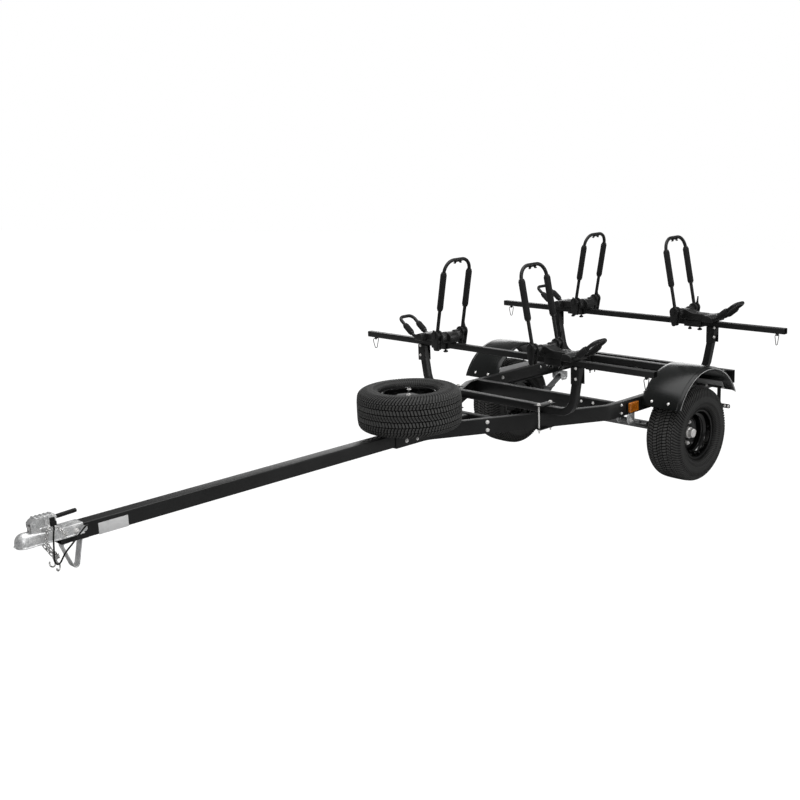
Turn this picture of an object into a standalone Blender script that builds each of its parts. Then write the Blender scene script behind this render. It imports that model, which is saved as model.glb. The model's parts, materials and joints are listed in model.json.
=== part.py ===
"""Two-boat kayak trailer: a tube tongue between two bent channel rails, a leaf-sprung axle, two yokes
with crossbars, four folding J-cradles, a spare wheel and a ball coupler.

Everything is laid out in the chassis frame: X across (+X is the trailer's left), -Y forward to the
coupler, +Z up, y = 0 on the axle and z = 0 at the bottom of the tyres. The whole trailer then stands
nose down on its tyres and on the strap foot under the coupler."""

from math import acos, asin, atan2, cos, hypot, pi, radians, sin, tan

import bmesh
import bpy
from mathutils import Matrix, Vector

INCH = 0.0254
GAP = 0.0003
FUSE = 0.0006
SHARP_ANGLE = radians(35)

# Wheels and tyres
TYRE_RADIUS = 10.25 * INCH
TYRE_WIDTH = 8.0 * INCH
TYRE_SIDES = 28
RIM_SIDES = 18
WHEEL_TRACK = 1.262
TYRE_TO_RAIL = 0.0194
TREAD_INSET = 0.030
SHOULDER_INSET = 0.008
SHOULDER_DROP = 0.024
SIDEWALL_WIDEST = 0.066
SIDEWALL_GAUGE = 0.012
TREAD_GAUGE = 0.010
BEAD_LAND = 0.014
BEAD_RADIUS = 5.0 * INCH
RIM_WIDTH = 6.0 * INCH
RIM_FLANGE = 0.0135
RIM_GAUGE = 0.004
BEAD_SEAT_FRONT = 0.034
BEAD_SEAT_REAR = 0.020
WELL_DEPTH = 0.024
WELL_SLOPE = 0.014
DISC_OFFSET = 0.002
DISC_RIM_SETBACK = 0.018
DISC_EDGE_SETBACK = 0.004
DISC_MARGIN = 0.010
DISC_GAUGE = 0.005
LUG_CIRCLE = 0.115
LUG_COUNT = 4
STUD_RADIUS = 0.006
NUT_RADIUS = 0.0115
NUT_HEIGHT = 0.015
HUB_FLANGE_RADIUS = 0.066
HUB_FLANGE_GAUGE = 0.009
HUB_BARREL_RADIUS = 0.034
HUB_BARREL_LENGTH = 0.066
HUB_PILOT_RADIUS = 0.031
HUB_PILOT_LENGTH = 0.028
HUB_CAP_RADIUS = 0.026
HUB_CAP_LENGTH = 0.022
HUB_CAP_CHAMFER = 0.005
HUB_BORE_WALL = 0.010
STUD_SINK = 0.004

# Axle and springs
AXLE_SIZE = 1.5 * INCH
BEAM_END_INSET = 0.105
SPINDLE_RADIUS = 0.0135
SPINDLE_CLEARANCE = 0.0006
SPRING_INSET = 0.040
SPRING_WIDTH = 1.75 * INCH
LEAF_GAUGE = 0.007
LEAF_CURVE = 1.35
LEAF_STEPS = 4
SECOND_LEAF = 0.6
FRONT_HANGER_Y = -0.330
REAR_HANGER_Y = 0.285
HANGER_WIDTH = 0.070
HANGER_LENGTH = 0.064
HANGER_GAUGE = 0.004
FRONT_HANGER_DROP = 0.058
REAR_HANGER_DROP = 0.050
SPRING_PIN_RADIUS = 0.007
SPRING_EYE_RADIUS = 0.014
SPRING_PAD_LENGTH = 0.100
SPRING_PAD_GAUGE = 0.007
SPRING_PAD_EDGE = 0.006
SPRING_SEAT_MARGIN = 0.004
SPRING_EYE_DROP = 0.004
SLIPPER_INSET = 0.002
UBOLT_RADIUS = 0.005
UBOLT_THREAD_BELOW = 0.010
UBOLT_THREAD_ABOVE = 0.008
HANGER_CUT_START = 0.016
HANGER_CUT_TOP = 0.008
HANGER_PIN_STANDOUT = 0.009

# Frame: tongue, side rails and cross members
TONGUE_SIZE = 2.5 * INCH
TONGUE_WALL = 0.003
TUBE_CORNER = 0.003
TONGUE_FRONT_Y = -3.343
TONGUE_REAR_Y = -1.080
FRAME_Z = 0.449
RAIL_HEIGHT = 3.0 * INCH
RAIL_FLANGE = 0.0345
RAIL_WALL = 0.004
RAIL_HALF_SPAN = (WHEEL_TRACK - TYRE_WIDTH) / 2 - TYRE_TO_RAIL
RAIL_FRONT_Y = -1.590
RAIL_INNER_BEND_Y = -1.381
RAIL_OUTER_BEND_Y = -0.524
RAIL_BEND_RADIUS = 0.130
RAIL_BEND_STEPS = 6
CROSS_FLANGE = 0.036
TONGUE_BRACE_Y = -1.075
FRONT_CROSS_Y = -0.460
CROSS_TUBE_SIZE = 1.5 * INCH
CROSS_TUBE_Y = 0.3726
CROSS_TUBE_UP = 0.008
REAR_CROSS_Y = 0.622
REAR_CROSS_OVERHANG = 0.040

# Yokes and crossbars
YOKE_SIZE = 1.5 * INCH
YOKE_WALL = 0.0025
YOKE_BEND_RADIUS = 0.085
YOKE_BEND_STEPS = 4
YOKE_FOOT_INSET = 0.005
YOKE_FRONT_SPLAY = 0.040
YOKE_REAR_SPLAY = 0.053
BAR_SIZE = 1.25 * INCH
BAR_WALL = 0.002
BAR_CORNER = 0.0025
BAR_LENGTH = 1.981
FRONT_BAR_Y = -0.822
REAR_BAR_Y = 0.3726
FRONT_BAR_Z = 0.7640
BAR_REAR_RISE = 0.028
SADDLE_WIDTH = 0.050
SADDLE_DROP = 0.088
SADDLE_GAUGE = 0.004
CLAMP_INSET = 0.225
CLAMP_ROD_RADIUS = 0.004
CLAMP_PLATE_WIDTH = 0.050
CLAMP_PLATE_GAUGE = 0.005
CLAMP_PLATE_EDGE = 0.012
CLAMP_BEND_RADIUS = 0.0055
CLAMP_THREAD = 0.022
CLAMP_NUT_RADIUS = 0.008
CLAMP_NUT_HEIGHT = 0.007
CLAMP_TO_RAIL = 0.0006
RISER_HALF_LENGTH = 0.016
RING_INSET = 0.0505
RING_WIRE = 0.0022
RING_WIDTH = 0.046
RING_HEIGHT = 0.056
RING_TAB_GAUGE = 0.004
RING_TAB_WIDTH = 0.016
RING_TAB_DROP = 0.015
RING_TAB_CHAMFER = 0.004
RING_HOLE_RADIUS = 0.0030
RING_HOLE_LIFT = 0.0005
RING_BEND = 0.007
RING_POINT = 0.30

# Folding J-cradles, measured from the hinge axis outward and from the crossbar's top
RACK_X = 0.335
REAR_LEFT_RACK_X = 0.370
RACK_HINGE_UP = 0.050
HOOP_RADIUS = 0.0095
HOOP_SPREAD = 0.097
HOOP_LEG = 0.347
HOOP_TOP_RADIUS = 0.066
HOOP_LEAN = radians(11.0)
PAD_RADIUS = 0.0175
PAD_START = 0.141
PAD_END = 0.350
HOOP_EYE_RADIUS = 0.021
HOOP_EYE_WIDTH = 0.017
HOOP_FOOT_SINK = 0.006
KNUCKLE_RADIUS = 0.027
KNUCKLE_TOE_RADIUS = 0.013
KNUCKLE_TOE_Z = -0.018
KNUCKLE_CHEEK = 0.011
KNUCKLE_PIN_RADIUS = 0.006
KNUCKLE_WEB_LOW = -0.004
KNUCKLE_WEB_HIGH = 0.024
KNUCKLE_WEB_HALF = 0.014
KNUCKLE_SINK = 0.004
ARM_HALF_WIDTH = 0.022
ARM_LOW = 0.012
ARM_SHOULDER = 0.030
ARM_OVER_HINGE = 0.014
LEVER_GAUGE = 0.006
LEVER_HALF_WIDTH = 0.011
LEVER_TALL = 0.062
LEVER_SHORT = 0.034
LEVER_HOOK = 0.009
RACK_LENGTH = 0.215
RACK_HALF_WIDTH = 0.034
RACK_TAIL = 0.040
RACK_TAIL_HEIGHT = 0.040
RACK_HUMP_HEIGHT = 0.058
RACK_HUMP_START = -0.020
RACK_HUMP_END = 0.040
RACK_DECK_HEIGHT = 0.039
RACK_DECK_START = 0.085
RACK_NOSE_HEIGHT = 0.026
RACK_NOSE_SLOPE = 0.030
HEAD_START = 0.150
HEAD_MARGIN = 0.006
CLAMP_START = 0.010
CLAMP_END = 0.120
CLAMP_CHEEK = 0.010
CLAMP_BASE = 0.007
SHORT_SPREAD = 0.050
SHORT_ROOT = 0.165
SHORT_KICK = 0.227
SHORT_RISE = radians(38.0)
SHORT_LENGTH = 0.150
SHORT_BEND = 0.030
SHORT_PAD_START = 0.020
SHORT_PAD_END = 0.092
SHORT_UP = 0.020

# Fenders
FENDER_RADIUS = 0.303
FENDER_CENTRE_Y = 0.010
FENDER_CENTRE_Z = 0.327
FENDER_FRONT_ANGLE = radians(157.0)
FENDER_REAR_ANGLE = radians(25.0)
FENDER_STEPS = 12
FENDER_TO_RAIL = 0.005
FENDER_OVERHANG = 0.0274
FENDER_GAUGE = 0.0025
FENDER_LIP = 0.014
FENDER_STEP = 0.005
FENDER_HEM = 0.022
BRACE_GAUGE = 0.004
BRACE_REACH = 0.190
BRACE_FRONT_ANGLE = radians(150.0)
BRACE_REAR_ANGLE = radians(32.0)
BRACE_SPAN = radians(7.0)
BRACE_HEIGHT = 0.034

# Lamps
MARKER_Y = -0.335
MARKER_WIDTH = 0.080
MARKER_HEIGHT = 0.058
MARKER_DEPTH = 0.022
MARKER_BASE = 0.006
TAIL_LAMP_WIDTH = 0.105
TAIL_LAMP_HEIGHT = 0.085
TAIL_LAMP_DEPTH = 0.042
TAIL_LAMP_LENS = 0.016

# Spare wheel
SPARE_Y = -1.459
SPARE_TURN = radians(45.0)
STUD_RISE = 0.072
CARRIER_WIDTH = 0.140
CARRIER_DEPTH = 0.112
CARRIER_GAUGE = 0.005
CARRIER_FOOT = 0.020

# Coupler, measured from the middle of the tongue's front end
COUPLER_NOSE = 0.175
COUPLER_SLEEVE = 0.097
COUPLER_GAUGE = 0.003
COUPLER_LIP = 0.006
COUPLER_LIP_DROP = 0.007
ARCH_SIDES = 8
BALL_RADIUS = 1.0 * INCH
BALL_CLEARANCE = 0.0012
BALL_UP = 0.012
DOME_RADIUS = 0.0345
LATCH_PIVOT_BACK = 0.074
LATCH_PIVOT_UP = 0.0685
LATCH_PIN_RADIUS = 0.005
EAR_ROOT = 0.0245
LATCH_HALF_WIDTH = 0.0205
LATCH_GAUGE = 0.0025
LATCH_TOP = 0.0290
LATCH_LENGTH = 0.090
GRIP_RADIUS = 0.0085
GRIP_LENGTH = 0.084
GRIP_NECK = 0.016
GRIP_TAIL_RADIUS = 0.0055
LATCH_END_WALL = 0.006
STEM_AHEAD = 0.010
STEM_RADIUS = 0.0045
STEM_CLEARANCE = 0.0008
STEM_HEAD_HALF_WIDTH = 0.009
STEM_HEAD_GAUGE = 0.003
JAW_HALF_WIDTH = 0.013
JAW_TOP = 0.016
CLAMP_TRAVEL = 0.008
GRIP_UP = 0.007
GRIP_RISE = radians(3.0)
STAND_FRONT_Y = -3.334
STAND_FOOT_Y = -3.284
STAND_REAR_Y = -3.250
STAND_FOOT_Z = 0.3045
STAND_WIDTH = 0.038
STAND_GAUGE = 0.005
STAND_BEND = 0.010
STAND_TAB = 0.030
STAND_TOP_BEND = 0.008

# Cords at the coupler: (across, behind the tongue's front end, over the frame's middle height)
CHAIN_RADIUS = 0.006
CHAIN_ROUTE = [
    (0.0414, 0.018, 0.010), (0.0480, 0.018, 0.010), (0.0560, 0.002, 0.028), (0.0550, -0.028, 0.055),
    (0.0540, -0.058, 0.050), (0.0550, -0.068, 0.010), (0.0540, -0.052, -0.035), (0.0460, -0.028, -0.064),
    (0.0200, -0.018, -0.080), (-0.0150, -0.020, -0.078), (-0.0400, -0.030, -0.055),
    (-0.0520, -0.045, -0.015), (-0.0530, -0.038, 0.025), (-0.0560, -0.008, 0.030),
    (-0.0480, 0.018, 0.010), (-0.0414, 0.018, 0.010)]
WIRING_RADIUS = 0.0035
WIRING_ROUTE = [
    (0.0321, 0.112, 0.022), (0.0400, 0.112, 0.022), (0.0460, 0.098, 0.020), (0.0480, 0.070, -0.002),
    (0.0480, 0.040, -0.030), (0.0480, 0.005, -0.060), (0.0460, -0.022, -0.096), (0.0540, -0.044, -0.082),
    (0.0660, -0.048, -0.030), (0.0700, -0.046, 0.020), (0.0690, -0.040, 0.054), (0.0690, -0.040, 0.066)]
PLUG_WIDTH = 0.026
PLUG_DEPTH = 0.013
PLUG_LENGTH = 0.034

# Values that follow from the ones above
SPRING_X = RAIL_HALF_SPAN - SPRING_INSET
AXLE_LENGTH = WHEEL_TRACK - 2 * BEAM_END_INSET
REAR_CROSS_LENGTH = 2 * (RAIL_HALF_SPAN + REAR_CROSS_OVERHANG)
YOKE_FOOT_HALF_SPAN = RAIL_HALF_SPAN - YOKE_FOOT_INSET
YOKE_FRONT_TOP_HALF_SPAN = YOKE_FOOT_HALF_SPAN + YOKE_FRONT_SPLAY
YOKE_REAR_TOP_HALF_SPAN = YOKE_FOOT_HALF_SPAN + YOKE_REAR_SPLAY
CLAMP_X = RAIL_HALF_SPAN - CLAMP_INSET
RING_X = BAR_LENGTH / 2 - RING_INSET
FENDER_INNER_X = RAIL_HALF_SPAN + FENDER_TO_RAIL
FENDER_OUTER_X = (WHEEL_TRACK + TYRE_WIDTH) / 2 + FENDER_OVERHANG
ROLLING_RADIUS = TYRE_RADIUS * cos(pi / TYRE_SIDES)
AXLE_Z = ROLLING_RADIUS
RAIL_TOP = FRAME_Z + RAIL_HEIGHT / 2
RAIL_BOTTOM = FRAME_Z - RAIL_HEIGHT / 2
RAIL_FRONT_X = TONGUE_SIZE / 2 + GAP + RAIL_WALL
TONGUE_TOP = FRAME_Z + TONGUE_SIZE / 2
TONGUE_BOTTOM = FRAME_Z - TONGUE_SIZE / 2


def stand_bend_centre():
    """The (y, z) middle of the strap foot's round bend."""
    return STAND_FOOT_Y, STAND_FOOT_Z + STAND_GAUGE + STAND_BEND


def stance_angle():
    """The nose-down tilt that puts the strap foot on the ground together with the tyres."""
    y, z = stand_bend_centre()
    ahead, above = -y, z - AXLE_Z
    return asin((ROLLING_RADIUS - STAND_BEND - STAND_GAUGE) / hypot(ahead, above)) + atan2(above, ahead)


STANCE = stance_angle()


# Shapes

def loft(rings, cyclic=False):
    """One closed skin through rings of equally many points; the ends are capped unless it is cyclic."""
    bm = bmesh.new()
    rows = [[bm.verts.new(point) for point in ring] for ring in rings]
    following = rows[1:] + rows[:1] if cyclic else rows[1:]
    for row, other in zip(rows, following):
        for i in range(len(row)):
            j = (i + 1) % len(row)
            bm.faces.new((row[i], row[j], other[j], other[i]))
    if not cyclic:
        bm.faces.new(rows[0][::-1])
        bm.faces.new(rows[-1])
    return mesh_of(bm)


def mesh_of(bm):
    bmesh.ops.recalc_face_normals(bm, faces=bm.faces)
    mesh = bpy.data.meshes.new("shape")
    bm.to_mesh(mesh)
    bm.free()
    return mesh


def pipe(outer, inner):
    """An open-ended tube between a loft of outer rings and one of inner rings."""
    bm = bmesh.new()
    skins = [[[bm.verts.new(point) for point in ring] for ring in rings] for rings in (outer, inner)]
    for rows in skins:
        for row, other in zip(rows, rows[1:]):
            for i in range(len(row)):
                j = (i + 1) % len(row)
                bm.faces.new((row[i], row[j], other[j], other[i]))
    for end in (0, -1):
        wide, narrow = skins[0][end], skins[1][end]
        for i in range(len(wide)):
            j = (i + 1) % len(wide)
            bm.faces.new((wide[i], wide[j], narrow[j], narrow[i]))
    return mesh_of(bm)


def bent_path(corners, radius, steps):
    """Stations (point, direction) along straight runs that are joined by arcs of one radius."""
    corners = [Vector(corner) for corner in corners]
    stations = [(corners[0], (corners[1] - corners[0]).normalized())]
    for before, corner, after in zip(corners, corners[1:], corners[2:]):
        into = (corner - before).normalized()
        out = (after - corner).normalized()
        turn = into.angle(out)
        side = (out - into * into.dot(out)).normalized()
        start = corner - into * (radius * tan(turn / 2))
        for k in range(steps + 1):
            angle = turn * k / steps
            point = start + into * (radius * sin(angle)) + side * (radius * (1 - cos(angle)))
            stations.append((point, into * cos(angle) + side * sin(angle)))
    stations.append((corners[-1], (corners[-1] - corners[-2]).normalized()))
    return stations


def rings_along(stations, section, up):
    """The section's (across, up) points set square to the path at each station."""
    up = Vector(up)
    rings = []
    for point, direction in stations:
        across = direction.cross(up).normalized()
        rings.append([point + across * a + up * b for a, b in section])
    return rings


def circle(radius, sides):
    return [(radius * cos(2 * pi * (k + 0.5) / sides), radius * sin(2 * pi * (k + 0.5) / sides))
            for k in range(sides)]


def square(size, corner=TUBE_CORNER):
    """A square tube's outline with its corners taken off."""
    half, short = size / 2, size / 2 - corner
    return [(half, -short), (half, short), (short, half), (-short, half),
            (-half, short), (-half, -short), (-short, -half), (short, -half)]


def turned(profile, sides, axis="X"):
    """A solid turned about an axis: circles of the profile's (place, radius) points, capped at both ends."""
    turn = {"X": Matrix.Identity(3), "Y": Matrix.Rotation(pi / 2, 3, "Z"), "Z": Matrix.Rotation(-pi / 2, 3, "Y")}
    rings = []
    for place, radius in profile:
        rings.append([turn[axis] @ Vector((place, a, b)) for a, b in circle(radius, sides)])
    return loft(rings)


def revolved(profile, sides):
    """A closed (x, radius) outline turned about X."""
    rings = []
    for k in range(sides):
        angle = 2 * pi * (k + 0.5) / sides
        rings.append([Vector((x, radius * sin(angle), radius * cos(angle))) for x, radius in profile])
    return loft(rings, cyclic=True)


def prism(outline, axis, start, end):
    """An outline in the two other axes, in X, Y, Z order, extruded along the named axis."""
    order = {"X": lambda s, a, b: (s, a, b), "Y": lambda s, a, b: (a, s, b), "Z": lambda s, a, b: (a, b, s)}
    put = order[axis]
    return loft([[Vector(put(place, a, b)) for a, b in outline] for place in (start, end)])


def box(low, high):
    (x0, y0, z0), (x1, y1, z1) = low, high
    return prism([(x0, y0), (x1, y0), (x1, y1), (x0, y1)], "Z", z0, z1)


def rod(start, end, radius, sides=10):
    start, end = Vector(start), Vector(end)
    direction = (end - start).normalized()
    up = Vector((0, 0, 1)) if abs(direction.z) < 0.9 else Vector((0, 1, 0))
    up = (up - direction * up.dot(direction)).normalized()
    return loft(rings_along([(start, direction), (end, direction)], circle(radius, sides), up))


def moved(mesh, by=(0, 0, 0), turn=None):
    """The same mesh, turned about its origin and then shifted."""
    if turn is not None:
        mesh.transform(turn.to_4x4())
    mesh.transform(Matrix.Translation(Vector(by)))
    return mesh


def mirrored(mesh):
    """A copy for the other side of the trailer."""
    bm = bmesh.new()
    bm.from_mesh(mesh)
    bmesh.ops.scale(bm, vec=(-1, 1, 1), verts=bm.verts)
    return mesh_of(bm)


def combined(body, joins=(), cuts=()):
    """The body with solids united to it and others cut out of it."""
    helpers = [bpy.data.objects.new("helper", mesh) for mesh in (body, *joins, *cuts)]
    for helper in helpers:
        bpy.context.scene.collection.objects.link(helper)
    for i, helper in enumerate(helpers[1:]):
        step = helpers[0].modifiers.new("step", "BOOLEAN")
        step.operation = "UNION" if i < len(joins) else "DIFFERENCE"
        step.solver = "EXACT"
        step.object = helper
    bpy.context.view_layer.update()
    graph = bpy.context.evaluated_depsgraph_get()
    result = bpy.data.meshes.new_from_object(helpers[0].evaluated_get(graph))
    for helper in helpers:
        bpy.data.objects.remove(helper)
    return result


# Scene helpers

def clear_scene():
    for old in list(bpy.data.objects):
        bpy.data.objects.remove(old)


def empty(name, location=(0, 0, 0), parent=None, tilt=0.0):
    made = bpy.data.objects.new(name, None)
    made.location = location
    made.rotation_euler = (tilt, 0, 0)
    made.parent = parent
    bpy.context.scene.collection.objects.link(made)
    return made


def material(name, colour, metallic, roughness):
    made = bpy.data.materials.new(name)
    made.use_nodes = True
    made.diffuse_color = (*colour, 1)
    shader = made.node_tree.nodes["Principled BSDF"]
    shader.inputs["Base Color"].default_value = (*colour, 1)
    shader.inputs["Metallic"].default_value = metallic
    shader.inputs["Roughness"].default_value = roughness
    return made


def piece(name, mesh, stuff, parent, location=(0, 0, 0)):
    """One named sub-part, shaded smooth over its round stretches."""
    mesh = mesh.copy()
    mesh.name = name
    colour, metallic, roughness = FINISHES[stuff]
    mesh.materials.clear()
    mesh.materials.append(material(name, colour, metallic, roughness))
    mesh.shade_smooth()
    mesh.set_sharp_from_angle(angle=SHARP_ANGLE)
    made = bpy.data.objects.new(name, mesh)
    made.parent = parent
    made.location = location
    bpy.context.scene.collection.objects.link(made)
    return made


CORD_PIECES = ("safety_chain", "wiring_harness", "wiring_plug")

FINISHES = {
    "powder coat": ((0.012, 0.013, 0.013), 0.0, 0.42),
    "gloss paint": ((0.008, 0.008, 0.009), 0.0, 0.22),
    "fender plastic": ((0.014, 0.016, 0.015), 0.0, 0.38),
    "rack plastic": ((0.018, 0.019, 0.019), 0.0, 0.55),
    "foam": ((0.014, 0.015, 0.015), 0.0, 0.9),
    "rubber": ((0.016, 0.016, 0.017), 0.0, 0.85),
    "zinc": ((0.62, 0.63, 0.63), 1.0, 0.34),
    "galvanised": ((0.48, 0.50, 0.51), 1.0, 0.42),
    "grey paint": ((0.17, 0.18, 0.18), 0.3, 0.5),
    "amber lens": ((0.72, 0.26, 0.02), 0.0, 0.2),
    "red lens": ((0.28, 0.012, 0.012), 0.0, 0.2),
}


def centre_on_origin(stance):
    """Shifts the whole trailer along Y so that the middle of its length stands over the origin."""
    bpy.context.view_layer.update()
    graph = bpy.context.evaluated_depsgraph_get()
    lengths = []
    for made in bpy.data.objects:
        if made.type in ("MESH", "CURVE") and made.name not in CORD_PIECES:
            whole = made.evaluated_get(graph)
            lengths += [(whole.matrix_world @ vertex.co).y for vertex in whole.to_mesh().vertices]
    stance.location.y -= (max(lengths) + min(lengths)) / 2


# Frame

def channel_section(height, flange, wall):
    """A channel with its web face at 0 and its flanges reaching to -flange."""
    top = height / 2
    return [(0, -top), (0, top), (-flange, top), (-flange, top - wall),
            (-wall, top - wall), (-wall, wall - top), (-flange, wall - top), (-flange, -top)]


def tongue_mesh():
    ends = [(Vector((0, y, FRAME_Z)), Vector((0, 1, 0))) for y in (TONGUE_FRONT_Y, TONGUE_REAR_Y)]
    up = (0, 0, 1)
    return pipe(rings_along(ends, square(TONGUE_SIZE), up),
                rings_along(ends, square(TONGUE_SIZE - 2 * TONGUE_WALL), up))


def rail_web_x(y):
    """Where the outer face of the left rail's web stands on its slanted run."""
    return RAIL_FRONT_X + (y - RAIL_INNER_BEND_Y) * rail_slope()


def rail_slope():
    """How far the rail's slanted run spreads for each metre it goes back."""
    return (RAIL_HALF_SPAN - RAIL_FRONT_X) / (RAIL_OUTER_BEND_Y - RAIL_INNER_BEND_Y)


def coped_height():
    """What is left of a member's height where its end goes in between a rail's flanges."""
    return RAIL_HEIGHT - 2 * RAIL_WALL - 2 * GAP


def rail_mesh():
    """The left rail: beside the tongue, out along a slant, then back to the rear member."""
    rear = REAR_CROSS_Y - CROSS_FLANGE - GAP
    inside = REAR_CROSS_Y - RAIL_WALL - GAP
    corners = [(RAIL_FRONT_X, RAIL_FRONT_Y, FRAME_Z), (RAIL_FRONT_X, RAIL_INNER_BEND_Y, FRAME_Z),
               (RAIL_HALF_SPAN, RAIL_OUTER_BEND_Y, FRAME_Z), (RAIL_HALF_SPAN, rear, FRAME_Z)]
    up = (0, 0, 1)
    rings = rings_along(bent_path(corners, RAIL_BEND_RADIUS, RAIL_BEND_STEPS),
                        channel_section(RAIL_HEIGHT, RAIL_FLANGE, RAIL_WALL), up)
    ends = [(Vector((RAIL_HALF_SPAN, y, FRAME_Z)), Vector((0, 1, 0))) for y in (rear, inside)]
    rings += rings_along(ends, channel_section(coped_height(), RAIL_FLANGE, RAIL_WALL), up)
    return loft(rings)


def member_section(height, web_y, open_to):
    """A cross channel's (y, z) outline; its flanges run from the web towards open_to, -1 or 1."""
    return [(web_y - open_to * a, FRAME_Z + b) for a, b in channel_section(height, CROSS_FLANGE, RAIL_WALL)]


def cross_member_mesh(web_y, half_shoulder, half_end, open_to):
    """A cross channel between the rails, coped at both ends to go in between their flanges."""
    full = member_section(RAIL_HEIGHT, web_y, open_to)
    coped = member_section(coped_height(), web_y, open_to)
    stations = [(-half_end, coped), (-half_shoulder, coped), (-half_shoulder, full),
                (half_shoulder, full), (half_shoulder, coped), (half_end, coped)]
    return loft([[Vector((x, y, z)) for y, z in outline] for x, outline in stations])


def tongue_brace_mesh():
    """The short channel behind the tongue, its ends cut on the slant of the rails."""
    outline = member_section(coped_height(), TONGUE_BRACE_Y, 1)
    slant = hypot(1.0, rail_web_x(1.0) - rail_web_x(0.0))
    inset = (RAIL_WALL + GAP) * slant
    left = [Vector((rail_web_x(y) - inset, y, z)) for y, z in outline]
    right = [Vector((-point.x, point.y, point.z)) for point in left]
    return loft([right, left])


def cross_tube_mesh():
    """The square tube under the rear yoke, with the riser pads and U-bolts that seat the yoke on it."""
    reach = RAIL_HALF_SPAN - RAIL_WALL - GAP
    z = FRAME_Z + CROSS_TUBE_UP
    half = CROSS_TUBE_SIZE / 2
    ends = [(Vector((x, CROSS_TUBE_Y, z)), Vector((1, 0, 0))) for x in (-reach, reach)]
    up = (0, 0, 1)
    tube = pipe(rings_along(ends, square(CROSS_TUBE_SIZE), up),
                rings_along(ends, square(CROSS_TUBE_SIZE - 2 * YOKE_WALL), up))
    joins = []
    for x in (-CLAMP_X, CLAMP_X):
        joins.append(box((x - CLAMP_PLATE_WIDTH / 2, CROSS_TUBE_Y - RISER_HALF_LENGTH, z + half - FUSE),
                         (x + CLAMP_PLATE_WIDTH / 2, CROSS_TUBE_Y + RISER_HALF_LENGTH, RAIL_TOP)))
        joins.append(clamp_mesh(x, CROSS_TUBE_Y, z - half + FUSE))
    return combined(tube, joins)


def make_frame(datum):
    rail = rail_mesh()
    shoulder = RAIL_HALF_SPAN - RAIL_FLANGE - GAP
    reach = RAIL_HALF_SPAN - RAIL_WALL - GAP
    piece("tongue_tube", tongue_mesh(), "powder coat", datum)
    piece("side_rail_left", rail, "powder coat", datum)
    piece("side_rail_right", mirrored(rail), "powder coat", datum)
    piece("tongue_cross_brace", tongue_brace_mesh(), "powder coat", datum)
    piece("front_cross_member", cross_member_mesh(FRONT_CROSS_Y, shoulder, reach, 1), "powder coat", datum)
    piece("rear_cross_tube", cross_tube_mesh(), "powder coat", datum)
    piece("rear_cross_member", prism(member_section(RAIL_HEIGHT, REAR_CROSS_Y, -1), "X",
                                     -REAR_CROSS_LENGTH / 2, REAR_CROSS_LENGTH / 2), "powder coat", datum)


# Yokes, crossbars and what is fixed to them

def bar_centre(y):
    return FRONT_BAR_Z + (BAR_REAR_RISE if y == REAR_BAR_Y else 0.0)


def yoke_heights(y):
    """The heights of a yoke's bottom run and of its posts' ends."""
    return RAIL_TOP + GAP + YOKE_SIZE / 2, bar_centre(y) - BAR_SIZE / 2 - SADDLE_GAUGE - GAP


def yoke_top_half_span(y):
    return YOKE_REAR_TOP_HALF_SPAN if y == REAR_BAR_Y else YOKE_FRONT_TOP_HALF_SPAN


def post_slope(y):
    """How far a post leans outward for each metre of height."""
    low, high = yoke_heights(y)
    return (yoke_top_half_span(y) - YOKE_FOOT_HALF_SPAN) / (high - low)


def yoke_mesh(y):
    """A square tube bent up at both ends into posts that lean outward."""
    low, high = yoke_heights(y)
    foot, top = YOKE_FOOT_HALF_SPAN, yoke_top_half_span(y)
    corners = [(-top, y, high), (-foot, y, low), (foot, y, low), (top, y, high)]
    stations = bent_path(corners, YOKE_BEND_RADIUS, YOKE_BEND_STEPS)
    across = (0, 1, 0)
    outer = rings_along(stations, square(YOKE_SIZE), across)
    inner = rings_along(stations, square(YOKE_SIZE - 2 * YOKE_WALL), across)
    for rings in (outer, inner):
        for ring in (rings[0], rings[-1]):
            level_end(ring, high, post_slope(y))
    return pipe(outer, inner)


def level_end(ring, height, slope):
    """Cuts a leaning post off level: each point slides along the post to the height."""
    for point in ring:
        slide = height - point.z
        point.z = height
        point.x += slide * slope * (1 if point.x > 0 else -1)


def saddle_mesh(y):
    """The inverted U under a crossbar that straddles a post's top, for the left side."""
    top = bar_centre(y) - BAR_SIZE / 2 + FUSE
    plate = top - FUSE - SADDLE_GAUGE
    inside = YOKE_SIZE / 2 + GAP
    outside = inside + SADDLE_GAUGE
    outline = [(-outside, top - SADDLE_DROP), (-inside, top - SADDLE_DROP), (-inside, plate),
               (inside, plate), (inside, top - SADDLE_DROP), (outside, top - SADDLE_DROP),
               (outside, top), (-outside, top)]
    centre = yoke_top_half_span(y) - SADDLE_DROP / 2 * post_slope(y)
    return prism([(y + a, z) for a, z in outline], "X", centre - SADDLE_WIDTH / 2, centre + SADDLE_WIDTH / 2)


def ring_tab_mesh(y, x):
    """The eye under a crossbar's end that a tie ring hangs in."""
    top = bar_centre(y) - BAR_SIZE / 2 + FUSE
    low = top - RING_TAB_DROP
    half, chamfer = RING_TAB_WIDTH / 2, RING_TAB_CHAMFER
    outline = [(x - half, top), (x - half, low + chamfer), (x - half + chamfer, low),
               (x + half - chamfer, low), (x + half, low + chamfer), (x + half, top)]
    hole = moved(turned([(-RING_TAB_GAUGE, RING_HOLE_RADIUS), (RING_TAB_GAUGE, RING_HOLE_RADIUS)], 10, "Y"),
                 (x, y, ring_pivot(y)))
    return combined(prism(outline, "Y", y - RING_TAB_GAUGE / 2, y + RING_TAB_GAUGE / 2), cuts=[hole])


def ring_pivot(y):
    return bar_centre(y) - BAR_SIZE / 2 - RING_TAB_DROP / 2 - RING_HOLE_LIFT


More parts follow.
